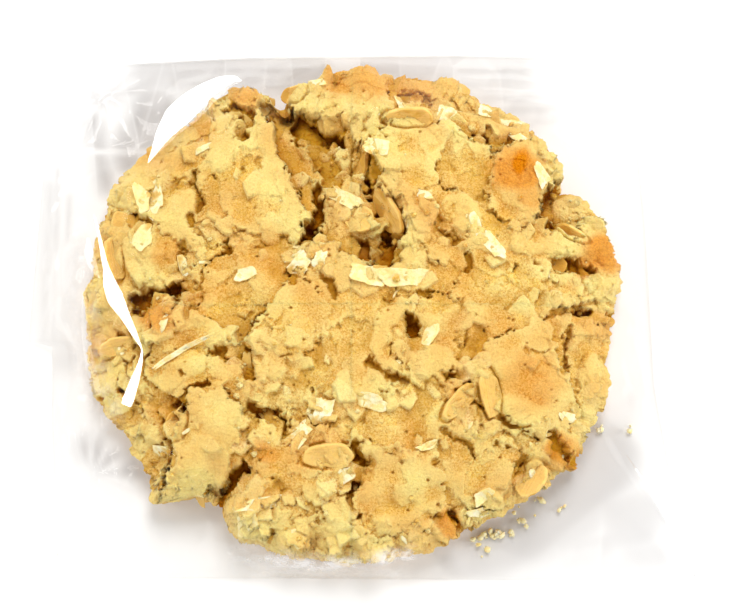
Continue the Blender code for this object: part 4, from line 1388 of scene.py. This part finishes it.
def make_crumbs(name, place, sizes, height, seed, pale, finish, stands_for=None):
    """Uneven stones: the radius of a ball of seven by three points, each moved by its own share."""
    draw = np.random.default_rng(seed)
    count, columns, rings = len(place), 7, 3
    polar = np.linspace(0, math.pi, rings + 2)[None, :, None]
    angle = (np.arange(columns) * TAU / columns)[None, None, :]
    ball = (np.sin(polar) * np.cos(angle), np.sin(polar) * np.sin(angle), np.cos(polar))
    ball = np.stack(np.broadcast_arrays(*ball), axis=-1)
    uneven = 0.72 + 0.5 * draw.random((count, rings + 2, columns))
    stretch = 0.6 + 0.6 * draw.random((count, 1, 1, 3))
    local = ball * uneven[..., None] * stretch * sizes[:, None, None, None] / 2
    local = turn_about(local, 1, 2, 360 * draw.random(count))
    local = turn_about(local, 0, 1, 360 * draw.random(count))
    points = close_rings(local) + np.column_stack([place, height])[:, None, :]
    each = points.shape[1]
    flat = points.reshape(-1, 3)
    kind = np.repeat(draw.random(count), each)
    # A crumb on the cookie is painted with shade where it lies low; a fallen one is not.
    painted_shade_and_highlight = read_map(map_painted_shade_and_highlight, place[:, 0], place[:, 1]) * (stands_for is not None)
    brown = 0.8 * toasting(flat[:, 0], flat[:, 1]) + 0.3 * (kind - 0.6)
    masks = {
        "skin": np.zeros(len(flat)),
        "inside": np.zeros(len(flat)),
        "painted_shade_and_highlight": np.repeat(np.clip(painted_shade_and_highlight, 0, 0.8), each),
        "toast": np.clip(brown, 0, 1) * (kind > pale),
        "pale": (kind < pale) * 0.9,
        "yolk": np.zeros(len(flat)),
        "oat": (kind > 0.8) * 0.8,
    }
    faces = copy_faces(rings, columns, count)
    return make_piece(name, flat, faces, finish, masks, stands_for=stands_for)


crumb_place = scatter(240, 111, 0.03)
crumb_size = 0.5 + 1.0 * np.random.default_rng(112).random(len(crumb_place)) ** 2
crumb_height = read_map(map_height, *crumb_place.T) + 0.15 * crumb_size
make_crumbs("dough_crumbs", crumb_place, crumb_size, crumb_height, 113, 0.3, baked, "cookie")

# %% [markdown]
# ## Loose crumbs in the bag
#
# A few crumbs have fallen off the cookie and lie on the lower film, most of them near its front
# right edge.

# %% Fallen crumbs
LOWER_FILM = 0.18
# Centre x, y, spread and count of each little heap.
FALLEN = (
    (25, -39.2, 0.7, 16),
    (28.5, -39.4, 0.35, 6),
    (44.8, -20.8, 0.4, 5),
    (31, -36.6, 1.2, 6),
    (36.6, -34.5, 0.5, 3),
    (22, -41.0, 1.2, 5),
    (49.4, -21, 0.4, 2),
    (33, -33, 1.0, 3),
)
fallen_draw = np.random.default_rng(121)
heaps = []
for x, y, spread, count in FALLEN:
    heaps.append(np.array([(x, y)]) + spread * fallen_draw.standard_normal((count, 2)))
fallen = np.concatenate(heaps)
fallen_out = np.hypot(*fallen.T) > outline_radius(np.arctan2(fallen[:, 1], fallen[:, 0])) + 0.4
fallen = fallen[fallen_out]
fallen_size = 0.45 + 1.0 * fallen_draw.random(len(fallen)) ** 2
fallen_height = LOWER_FILM + 0.45 * fallen_size
make_crumbs("fallen_crumbs", fallen, fallen_size, fallen_height, 122, 1.0, coconut_material)

# %% [markdown]
# ## The film's shape
#
# The film lies on the cookie's high points and hangs between them and the bag's edge, like a
# stretched sheet over an obstacle. Such a sheet is found by letting every point take the mean of
# its four neighbours and then lifting it back wherever it sank into the cookie, over and over.

# %% Relax a sheet over the cookie
FILM_STEP = 0.5
FILM_CLEAR = 0.10
SEAL_HEIGHT = 0.45
RELAX_ROUNDS = 1400
film_x_axis = np.arange(-66.0, 66.01, FILM_STEP)
film_y_axis = np.arange(-53.0, 53.01, FILM_STEP)
film_x, film_y = np.meshgrid(film_x_axis, film_y_axis)


def inside_outline(x, y, outline):
    """Whether points lie inside a closed outline: an odd number of its edges lie to the right."""
    odd = np.zeros(np.shape(x), bool)
    for (ax, ay), (bx, by) in zip(outline, np.roll(outline, -1, axis=0)):
        crosses = (ay > y) != (by > y)
        reach = ax + (y - ay) * (bx - ax) / (by - ay if by != ay else 1e-9)
        odd ^= crosses & (x < reach)
    return odd


def highest_points(points):
    """The highest point of the cookie in each cell of the film's grid."""
    column = np.clip(np.round((points[:, 0] - film_x_axis[0]) / FILM_STEP), 0, len(film_x_axis) - 1)
    row = np.clip(np.round((points[:, 1] - film_y_axis[0]) / FILM_STEP), 0, len(film_y_axis) - 1)
    ground = np.zeros(film_x.shape)
    np.maximum.at(ground, (row.astype(int), column.astype(int)), points[:, 2])
    spread = ground.copy()
    for shift in (-1, 1):
        spread = np.maximum(spread, np.roll(ground, shift, axis=0))
        spread = np.maximum(spread, np.roll(ground, shift, axis=1))
    return spread


in_bag = inside_outline(film_x, film_y, BAG_OUTLINE)
obstacle = highest_points(np.concatenate(cookie_points)) + FILM_CLEAR
sheet = np.where(in_bag, np.maximum(obstacle, SEAL_HEIGHT), SEAL_HEIGHT)
for _ in range(RELAX_ROUNDS):
    mean = (sheet[:-2, 1:-1] + sheet[2:, 1:-1] + sheet[1:-1, :-2] + sheet[1:-1, 2:]) / 4
    relaxed = np.maximum(mean, obstacle[1:-1, 1:-1])
    sheet[1:-1, 1:-1] = np.where(in_bag[1:-1, 1:-1], relaxed, SEAL_HEIGHT)
print("film's highest point:", round(float(sheet.max()), 2), "mm")


def film_height(x, y):
    """The relaxed sheet's height at plan points."""
    return blend_cells(sheet, (x - film_x_axis[0]) / FILM_STEP, (y - film_y_axis[0]) / FILM_STEP)


# %% [markdown]
# ## The film's mesh
#
# The sheet is read off on a grid that runs from the bag's left edge to its right and from its
# bottom to its top. Crumples are added to it: sharp folds that fan out from the cookie over the
# margins, and softer ones over the top. The lower sheet uses the same grid, lies flat, and meets
# the upper one all the way round, so the bag is one closed surface.

# %% The bag's four sides and the points between them
FILM_COLUMNS = 210
FILM_ROWS = 168


def edge_curve(corners, axis_from, axis_to, at):
    """One side of the bag as a function of the other coordinate, through its corners."""
    corners = corners[np.argsort(corners[:, axis_from])]
    return np.interp(at, corners[:, axis_from], corners[:, axis_to])


LEFT_SIDE = BAG_OUTLINE[[12, 13, 14, 15, 16, 17, 0]]
RIGHT_SIDE = BAG_OUTLINE[[4, 5, 6, 7, 8]]
TOP_SIDE = BAG_OUTLINE[[0, 1, 2, 3, 4]]
LOWER_SIDE = BAG_OUTLINE[[8, 9, 10, 11, 12]]


def film_plan(u, v):
    """Plan points for shares of the way across and up the bag."""
    low_y, high_y = BAG_OUTLINE[:, 1].min(), BAG_OUTLINE[:, 1].max()
    level = low_y + (high_y - low_y) * v
    left = edge_curve(LEFT_SIDE, 1, 0, level)
    right = edge_curve(RIGHT_SIDE, 1, 0, level)
    x = left + (right - left) * u
    bottom = edge_curve(LOWER_SIDE, 0, 1, x)
    top_edge = edge_curve(TOP_SIDE, 0, 1, x)
    return x, bottom + (top_edge - bottom) * v


# %% Crumples
def facets(x, y, cell, seed):
    """Roofs of flat faces: the distance from each cell's border, which is linear in between."""
    return np.minimum(chunks(x, y, cell, seed)[1], 0.8)


# Where folds run together, often at a pinched corner: x, y, how many rays, reach, height.
PINCHES = (
    (-45.5, 41.0, 11, 15.0, 0.7),
    (-46.5, -29.0, 11, 15.0, 0.8),
    (44.0, 42.0, 9, 9.0, 0.5),
    (-36.0, -8.0, 7, 9.0, 0.5),
    (6.0, -45.5, 15, 9.0, 0.6),
)
# The smooth tent at the near right: along the cookie, then the crease that bounds it.
TENT = ((22, -42), (38, -34), (44, -24), (59.5, -45.5))


def tent_share(x, y):
    """1 on the smooth tent and 0 away from it."""
    return smooth_step(9.0, 5.0, distance_to_line(x, y, TENT))


def folds(x, y):
    """Crumples: fans of rays from the pinches, facets between them, and rows along the top."""
    height = 0.8 * facets(x + 0.5 * y, y - 0.4 * x, 9.0, 92) + 0.3 * facets(x, y, 4.0, 93)
    height = height * (1 - 0.85 * tent_share(x, y))
    height = height + 1.2 * smooth_step(2.5, 0.0, distance_to_line(x, y, TENT[2:]))
    for index, (middle_x, middle_y, rays, reach, rise) in enumerate(PINCHES):
        angle = np.arctan2(y - middle_y, x - middle_x)
        far = np.hypot(x - middle_x, y - middle_y)
        wander = 0.6 * noise(x, y, 14.0, 110 + index)
        ray = np.abs((angle * rays / TAU + wander) % 1.0 - 0.5) * 2
        ray = rise * ray * smooth_step(reach, 0.3 * reach, far)
        height = height + ray * smooth_step(0.0, 2.0, far)
    rows = np.abs((0.40 * y + 0.35 * noise(x * 0.25, y, 4.0, 95)) % 1.0 - 0.5) * 2
    return height + 0.55 * rows * smooth_step(34.0, 39.0, y) * smooth_step(-34, -26, x)


# %% The upper and the lower sheet
BAG_ACROSS = 112
BAG_UP = 95
EDGE_HEIGHT = 0.22
LOWEST_FILM = 0.02
u_film, v_film = np.meshgrid(np.linspace(0, 1, FILM_COLUMNS + 1), np.linspace(0, 1, FILM_ROWS + 1))
sheet_x, sheet_y = film_plan(u_film, v_film)
from_sides = np.minimum(u_film, 1 - u_film) * BAG_ACROSS
from_edge = np.minimum(from_sides, np.minimum(v_film, 1 - v_film) * BAG_UP)
from_cookie = np.hypot(sheet_x, sheet_y) / outline_radius(np.arctan2(sheet_y, sheet_x))
fold_size = 0.06 + 0.94 * smooth_step(1.0, 1.06, from_cookie)
fold_height = folds(sheet_x, sheet_y) * fold_size * smooth_step(0.3, 4.0, from_edge)
sheet_z = film_height(sheet_x, sheet_y) + fold_height
sheet_z = np.where(from_edge <= 0, EDGE_HEIGHT, sheet_z)
lower_wave = 0.05 * (1 + noise(sheet_x, sheet_y, 6.0, 94)) * smooth_step(0.0, 4.0, from_edge)
lower_z = LOWEST_FILM + lower_wave
print("upper sheet:", round(float(sheet_z.min()), 2), "to", round(float(sheet_z.max()), 2), "mm high")

# %% [markdown]
# ## Painted shade and painted glare on the film
#
# Crumpled film looks grey where its folds throw the light aside, and it shines white where it
# glares. Both are painted: soft patches along short lines say where it is painted grey as shade,
# for the cookie's shadow and the folds, and where it is painted white as glare. The painted grey
# is then made uneven by the slope of the folds, as their faces catch more or less light. It is put
# into the lower sheet, which lies on the table: there it greys the margin, and from no side does it
# lie over the cookie.

# %% Patches of painted shade and painted glare
# Where the film is painted grey as shade: the line of each patch, half width and strength.
SHADED = (
    (((-24, 45), (30, 44)), 2.6, 0.34),
    (((22, 42), (34, 37)), 2.5, 0.36),
    (((-37.0, 38.4), (-40.0, 30)), 3.2, 0.42),
    (((-38, 44.5), (-24, 45.5)), 2.2, 0.30),
    (((-46, 41), (-36, 43)), 1.4, 0.26),
    (((-48, 36), (-45, 24)), 0.6, 0.35),
    (((-50, 12), (-51, -8)), 1.6, 0.16),
    (((-47, -24), (-36, -30)), 1.4, 0.30),
    (((-27, -37), (-20, -44)), 2.2, 0.20),
    (((14, -46), (30, -42)), 2.0, 0.50),
    (((30, -37), (44, -26)), 6.5, 0.60),
    (((38, -38), (50, -37)), 4.5, 0.38),
    (((30, -43), (54, -43)), 1.8, 0.32),
    (((48, -24), (49, -14)), 2.5, 0.25),
    (((-55.4, 24), (-55.8, -5)), -0.9, 0.25),
    (((-54.0, 27), (-54.0, -5)), -2.1, 0.80),
    (((-51.9, 22), (-51.9, -2)), -2.1, 0.80),
)
# Where the film is painted white as glare, in the same form.
GLARE_PATCHES = (
    (((-47.5, 14), (-48, 2), (-46.5, -9), (-43, -18)), 3.0, 0.20),
    (((-20, -42.6), (-8, -44.4), (3, -44.2)), 0.9, 0.45),
    (((-16, -46), (8, -46.4)), 1.0, 0.15),
    (((4, -43.6), (10, -42.8)), 0.8, 0.55),
)
# Light crosses the lower sheet on its way down and again on its way up, so its grey is weakened.
CROSSED_TWICE = 0.55


def patches_at(patches, fade):
    """The strongest patch at each point: full inside its half width, gone a little outside it."""
    strongest = np.zeros(sheet_x.shape)
    for points, half_width, strength in patches:
        away = distance_to_line(sheet_x, sheet_y, points)
        patch = strength * smooth_step(half_width + fade, half_width - 1.5, away)
        strongest = np.maximum(strongest, patch)
    return strongest


fold_y, fold_x = np.gradient(sheet_z, axis=(0, 1))
fold_x = fold_x / np.maximum(np.gradient(sheet_x, axis=1), 1e-6)
fold_y = fold_y / np.maximum(np.gradient(sheet_y, axis=0), 1e-6)
in_tent = tent_share(sheet_x, sheet_y)
# Painted shade that follows the folds: faces sloping one way are painted greyer, as if they caught
# less light, and the smooth tent hardly changes.
catching = np.clip(0.9 + 1.1 * (1 - 0.9 * in_tent) * (0.8 * fold_x - 0.6 * fold_y), 0.2, 1.7)
outside = smooth_step(0.99, 1.03, from_cookie)
film_shade = CROSSED_TWICE * np.clip(patches_at(SHADED, 3.5) * catching * outside, 0, 1)
# Painted glare: white patches, weaker where the folds are painted greyer.
film_painted_glare = np.clip(patches_at(GLARE_PATCHES, 1.5) * (1 - 0.7 * (catching - 0.9)), 0, 1)
print("greyest:", round(float(film_shade.max()), 2), "strongest_glare:", round(float(film_painted_glare.max()), 2))

# %% The film's points, faces and masks
upper = np.stack([sheet_x, sheet_y, sheet_z], axis=-1).reshape(-1, 3)
inner_rows, inner_columns = FILM_ROWS - 1, FILM_COLUMNS - 1
lower = np.stack([sheet_x, sheet_y, lower_z], axis=-1)[1:-1, 1:-1].reshape(-1, 3)
film_index = np.arange(len(upper)).reshape(FILM_ROWS + 1, FILM_COLUMNS + 1)
lower_index = film_index.copy()
lower_index[1:-1, 1:-1] = len(upper) + np.arange(len(lower)).reshape(inner_rows, inner_columns)
film_points = np.concatenate([upper, lower])
film_faces = (grid_quads(film_index), grid_quads(lower_index)[:, ::-1])
film_masks = {
    "shade": np.concatenate([
        (film_shade * (1 - in_tent) * (from_edge <= 0)).ravel(),
        film_shade[1:-1, 1:-1].ravel(),
    ]),
    "margin": np.concatenate([outside.ravel(), np.zeros(len(lower))]),
    "painted_glare": np.concatenate([film_painted_glare.ravel(), np.zeros(len(lower))]),
    "smooth": np.concatenate([in_tent.ravel(), in_tent[1:-1, 1:-1].ravel()]),
}

# %% [markdown]
# ## The film's finish
#
# Clear film shows what lies behind it and adds a gloss that grows at a grazing angle. A see-through
# shader and a glossy one are mixed by a Layer Weight, which is what makes the folds shine. A second,
# darker see-through shader paints shade where the shade mask says, broken up by flat facets, and a
# white matt one paints glare where the glare mask says.


# %% Clear film
def film_finish():
    """Clear film: see-through, with painted shade and painted glare by its masks, and a gloss that
    grows when turned.
    """
    finish = Finish("clear_film")
    facing = finish.node("ShaderNodeLayerWeight", {}, {"Blend": 0.5}, "Facing")
    gloss_share = facing**2.0 * (0.12 + 0.30 * finish.mask("margin"))
    turned = {"Vector": finish.place, "Rotation": (0.0, 0.0, 0.7), "Scale": (1.0, 0.30, 0.0)}
    facet = {"Vector": finish.node("ShaderNodeMapping", {}, turned), "Scale": 1 / (7.0 * MM)}
    cells = {"voronoi_dimensions": "2D"}
    tone = finish.node("ShaderNodeTexVoronoi", cells, facet, "Color").between(0.2, 0.8)
    cells = {"voronoi_dimensions": "2D", "feature": "DISTANCE_TO_EDGE"}
    flat_part = finish.node("ShaderNodeTexVoronoi", cells, facet, "Distance").between(0.0, 0.05)
    # The painted shade is broken into flat facets, each a little greyer or clearer, like fold faces
    # turned to more or less light.
    uneven = (1 - finish.mask("smooth")) * ((0.65 + 0.6 * tone) * (0.75 + 0.25 * flat_part) - 0.9)
    shade = finish.mask("shade") * (0.9 + uneven)
    relief = finish.bump(finish.grain(7.0, 2.0, 0.5), 0.08)
    clear = finish.node("ShaderNodeBsdfTransparent", {}, {"Color": (0.993, 0.993, 0.993)})
    # Painted shade: a darker see-through film where the shade mask says.
    painted_shade_film = finish.node("ShaderNodeBsdfTransparent", {}, {"Color": (0.40, 0.37, 0.36)})
    shade_sockets = {"Fac": shade, 1: clear, 2: painted_shade_film}
    seen_through = finish.node("ShaderNodeMixShader", {}, shade_sockets)
    gloss_sockets = {"Color": (1.0, 1.0, 1.0), "Roughness": 0.06, "Normal": relief}
    gloss = finish.node("ShaderNodeBsdfGlossy", {}, gloss_sockets)
    both = finish.node("ShaderNodeMixShader", {}, {"Fac": gloss_share, 1: seen_through, 2: gloss})
    # Painted glare: a white matt film where the glare mask says.
    painted_glare_white = finish.node("ShaderNodeBsdfDiffuse", {}, {"Color": (0.96, 0.96, 0.97)})
    painted_glare_share = finish.mask("painted_glare") * finish.grain(2.6, 3.0, 0.6).between(0.38, 0.60)
    both = finish.node("ShaderNodeMixShader", {}, {"Fac": painted_glare_share, 1: both, 2: painted_glare_white})
    finish.feed(finish.tree.nodes["Material Output"].inputs["Surface"], both)
    finish.tree.nodes.remove(finish.shader)
    return finish.material


make_piece(
    "bag_film", film_points, film_faces, film_finish(), film_masks,
    stands_for="film_bag",
)  # fmt: skip

# %% [markdown]
# ## Floor, light and camera
#
# A white floor, one large soft light high at the rear and a bright sky give the pale studio look.
# Weaker lights from the right, the left and the front keep the sides from going dark. Two more
# stand for windows on the left: only they show in the film. The camera looks down almost plumb.

# %% Floor
FLOOR_CORNERS = ((-2, -2, 0), (2, -2, 0), (2, 2, 0), (-2, 2, 0))  # in metres
floor_mesh = bpy.data.meshes.new("floor")
floor_mesh.from_pydata(FLOOR_CORNERS, [], [(0, 1, 2, 3)])
floor_finish = Finish("white_floor")
floor_mesh.materials.append(floor_finish.set(Base_Color=(0.88, 0.88, 0.88), Roughness=0.8))
floor = bpy.data.objects.new("floor", floor_mesh)
bpy.context.scene.collection.objects.link(floor)
floor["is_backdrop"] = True

# %% Light
SKY_COLOUR = (1.0, 0.985, 0.96, 1.0)
SKY_STRENGTH = 0.49
world = bpy.data.worlds.new("studio")
world.use_nodes = True
sky = world.node_tree.nodes["Background"]
sky.inputs["Color"].default_value = SKY_COLOUR
sky.inputs["Strength"].default_value = SKY_STRENGTH
bpy.context.scene.world = world


def soft_light(name, place, size, power, mirrored):
    """A round soft light that points at the cookie. Only a mirrored one shows in the film."""
    light = bpy.data.lights.new(name, "AREA")
    light.shape = "DISK"
    light.size = size
    light.energy = power
    lamp = bpy.data.objects.new(name, light)
    lamp.location = place
    lamp.rotation_euler = (-Vector(place)).to_track_quat("-Z", "Y").to_euler()
    lamp.visible_glossy = mirrored
    bpy.context.scene.collection.objects.link(lamp)
    return lamp


soft_light("key", (0.12, 0.53, 0.77), 0.45, 6.1, False)
soft_light("side_right", (0.85, -0.05, 0.36), 0.50, 4.2, False)
soft_light("side_left", (-0.80, -0.35, 0.36), 0.50, 2.2, False)
soft_light("front", (0.10, -0.85, 0.32), 0.50, 1.6, False)
window_left = soft_light("window_left", (-0.857, 0.139, 0.495), 0.34, 1.6, True)
soft_light("window_rear_left", (-0.572, 0.711, 0.41), 0.30, 1.2, True)

# %% Camera
PHOTO_WIDTH, PHOTO_HEIGHT = 734, 608
PIXELS_PER_MM = 5.58
COOKIE_PIXEL = (352, 313)
ELEVATION = 82.0
RIM_HEIGHT = 4.0  # the plan was read off the photo at the level of the rim
LENS_MM = 85.0
SENSOR_MM = 36.0

aim_x = (PHOTO_WIDTH / 2 - COOKIE_PIXEL[0]) / PIXELS_PER_MM - BAG_CENTRE[0]
aim_y = (COOKIE_PIXEL[1] - PHOTO_HEIGHT / 2) / PIXELS_PER_MM - BAG_CENTRE[1]
aim = Vector((aim_x, aim_y, RIM_HEIGHT)) * MM
distance = PHOTO_WIDTH / PIXELS_PER_MM * MM * LENS_MM / SENSOR_MM
tip = math.radians(ELEVATION)
camera_data = bpy.data.cameras.new("camera")
camera_data.lens = LENS_MM
camera_data.sensor_width = SENSOR_MM
camera = bpy.data.objects.new("camera", camera_data)
camera.location = aim + distance * Vector((0, -math.cos(tip), math.sin(tip)))
camera.rotation_euler = (aim - camera.location).to_track_quat("-Z", "Y").to_euler()
bpy.context.scene.collection.objects.link(camera)
bpy.context.scene.camera = camera
bpy.context.scene.view_settings.view_transform = "Standard"

# %% [markdown]
# ## Pleats that catch the light
#
# Along the left the film is pinched into flat pleats that face a window, and there it shines white.
# Each pleat is a thin closed ribbon that follows the film, and its line gives the width at each
# point. It is clear film like the rest, with its normals turned as a mirror between the window and
# the camera, so the shine comes from the lamp, and from elsewhere it goes.

# %% Pleats
# Each point: x, y and half width. The second entry is the share of light that a face mirrors.
PLEATS = (
    (((-36.2, 26.0, 0.1), (-34.9, 28.8, 0.8), (-33.5, 31.8, 1.7), (-31.4, 35.0, 2.7),
      (-28.9, 37.6, 2.6), (-26.2, 39.9, 2.1), (-23.6, 41.9, 1.5), (-21.4, 42.5, 0.8),
      (-20.0, 41.8, 0.1)), 0.12),
    (((-45.9, 16.9, 0.08), (-45.0, 14.2, 0.25), (-44.0, 10.6, 0.38), (-43.2, 7.2, 0.55),
      (-42.4, 4.2, 1.2), (-41.2, 1.4, 1.5), (-39.4, -1.6, 0.9), (-37.6, -4.8, 0.55),
      (-36.0, -7.8, 0.12), (-36.5, -10.2, 0.45), (-37.6, -13.0, 0.85), (-39.0, -16.4, 1.1),
      (-39.3, -17.1, 0.9)), 0.12),
    (((-46.9, 13.0, 0.2), (-46.7, 10.4, 0.9), (-45.8, 8.0, 0.9), (-44.9, 6.2, 0.5),
      (-44.3, 5.3, 0.1)), 0.02),
    (((-36.0, 26.5, 0.3), (-34.0, 29.5, 1.1), (-32.2, 32.6, 2.0), (-30.0, 35.4, 3.0),
      (-27.6, 38.0, 3.0), (-25.2, 39.9, 2.4), (-22.6, 41.5, 1.4), (-20.4, 41.6, 0.3)), 0.02),
    (((48.6, -25.4, 0.05), (52.0, -30.0, 0.18), (55.4, -35.6, 0.25), (58.2, -40.4, 0.15),
      (60.0, -44.4, 0.05)), 0.12),
    (((-47.2, 3.0, 0.4), (-47.0, -4.0, 0.8), (-46.0, -10.0, 1.0), (-44.4, -15.0, 0.5)), 0.01),
)  # fmt: skip
PLEAT_ROWS = 60
PLEAT_COLUMNS = 7
PLEAT_LIFT = 0.12
PLEAT_THICK = 0.05


def pleat_ribbon(line):
    """A closed thin ribbon: its upper points row by row, then the lower ones."""
    x, y, half_width = np.array(line).T
    along = np.concatenate([[0], np.cumsum(np.hypot(np.diff(x), np.diff(y)))])
    at = np.linspace(0, along[-1], PLEAT_ROWS)
    x, y, half_width = (np.interp(at, along, values) for values in (x, y, half_width))
    smooth = np.array([0.25, 0.5, 0.25])
    x[1:-1], y[1:-1] = np.convolve(x, smooth, "valid"), np.convolve(y, smooth, "valid")
    way_x, way_y = np.gradient(x), np.gradient(y)
    far = np.hypot(way_x, way_y)
    share = np.linspace(-1, 1, PLEAT_COLUMNS)
    across_x = x[:, None] - share * (way_y / far * half_width)[:, None]
    across_y = y[:, None] + share * (way_x / far * half_width)[:, None]
    height = film_height(across_x, across_y) + PLEAT_LIFT
    top_side = np.stack([across_x, across_y, height + PLEAT_THICK], axis=-1)
    under_side = np.stack([across_x, across_y, height], axis=-1)
    return np.concatenate([top_side, under_side[:, ::-1]], axis=1)


ribbons = [pleat_ribbon(line) for line, _ in PLEATS]
loop = 2 * PLEAT_COLUMNS
ribbon_index = np.arange(PLEAT_ROWS * loop).reshape(PLEAT_ROWS, loop)
half = np.arange(PLEAT_COLUMNS - 1)
caps = []
for end in (ribbon_index[0], ribbon_index[-1][::-1]):
    cap_corners = (end[half], end[half + 1], end[loop - 2 - half], end[loop - 1 - half])
    caps.append(np.stack(cap_corners, axis=-1))
one_ribbon = np.concatenate([ring_quads(ribbon_index), *caps])
pleat_points = np.concatenate([ribbon.reshape(-1, 3) for ribbon in ribbons])
glare = np.repeat([shine for _, shine in PLEATS], PLEAT_ROWS * loop)
pleat_faces = (repeat_faces(one_ribbon, PLEAT_ROWS * loop, len(PLEATS)),)


def unit(ways):
    """The same directions with a length of 1."""
    return ways / np.linalg.norm(ways, axis=-1, keepdims=True)


def mirroring(points, lamp, viewer):
    """Normals halfway between the way to the lamp and the way to the viewer, as a mirror needs."""
    shift = np.array([*BAG_CENTRE, 0.0])
    to_lamp = np.array(lamp.location) / MM + shift - points
    to_viewer = np.array(viewer.location) / MM + shift - points
    return unit(unit(to_lamp) + unit(to_viewer))


def pleat_finish():
    """Clear film that mirrors a share of what it faces and lets the rest through."""
    finish = Finish("film_pleat")
    clear = finish.node("ShaderNodeBsdfTransparent", {}, {"Color": (1.0, 1.0, 1.0)})
    gloss = finish.node("ShaderNodeBsdfGlossy", {}, {"Color": (1.0, 1.0, 1.0), "Roughness": 0.06})
    both = finish.node("ShaderNodeMixShader", {}, {"Fac": finish.mask("glare"), 1: clear, 2: gloss})
    finish.feed(finish.tree.nodes["Material Output"].inputs["Surface"], both)
    finish.tree.nodes.remove(finish.shader)
    return finish.material


upper_side = np.tile(np.arange(loop) < PLEAT_COLUMNS, PLEAT_ROWS * len(PLEATS))
pleat_normals = mirroring(pleat_points, window_left, camera)
pleat_normals = np.where(upper_side[:, None], pleat_normals, -pleat_normals)
make_piece(
    "film_pleats", pleat_points, pleat_faces, pleat_finish(), {"glare": glare},
    pleat_normals, "film_bag",
)  # fmt: skip

# %% Note the size of the solids and of the scene
sides = [[list(corner) for corner in box] for box in (solid_box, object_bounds())]
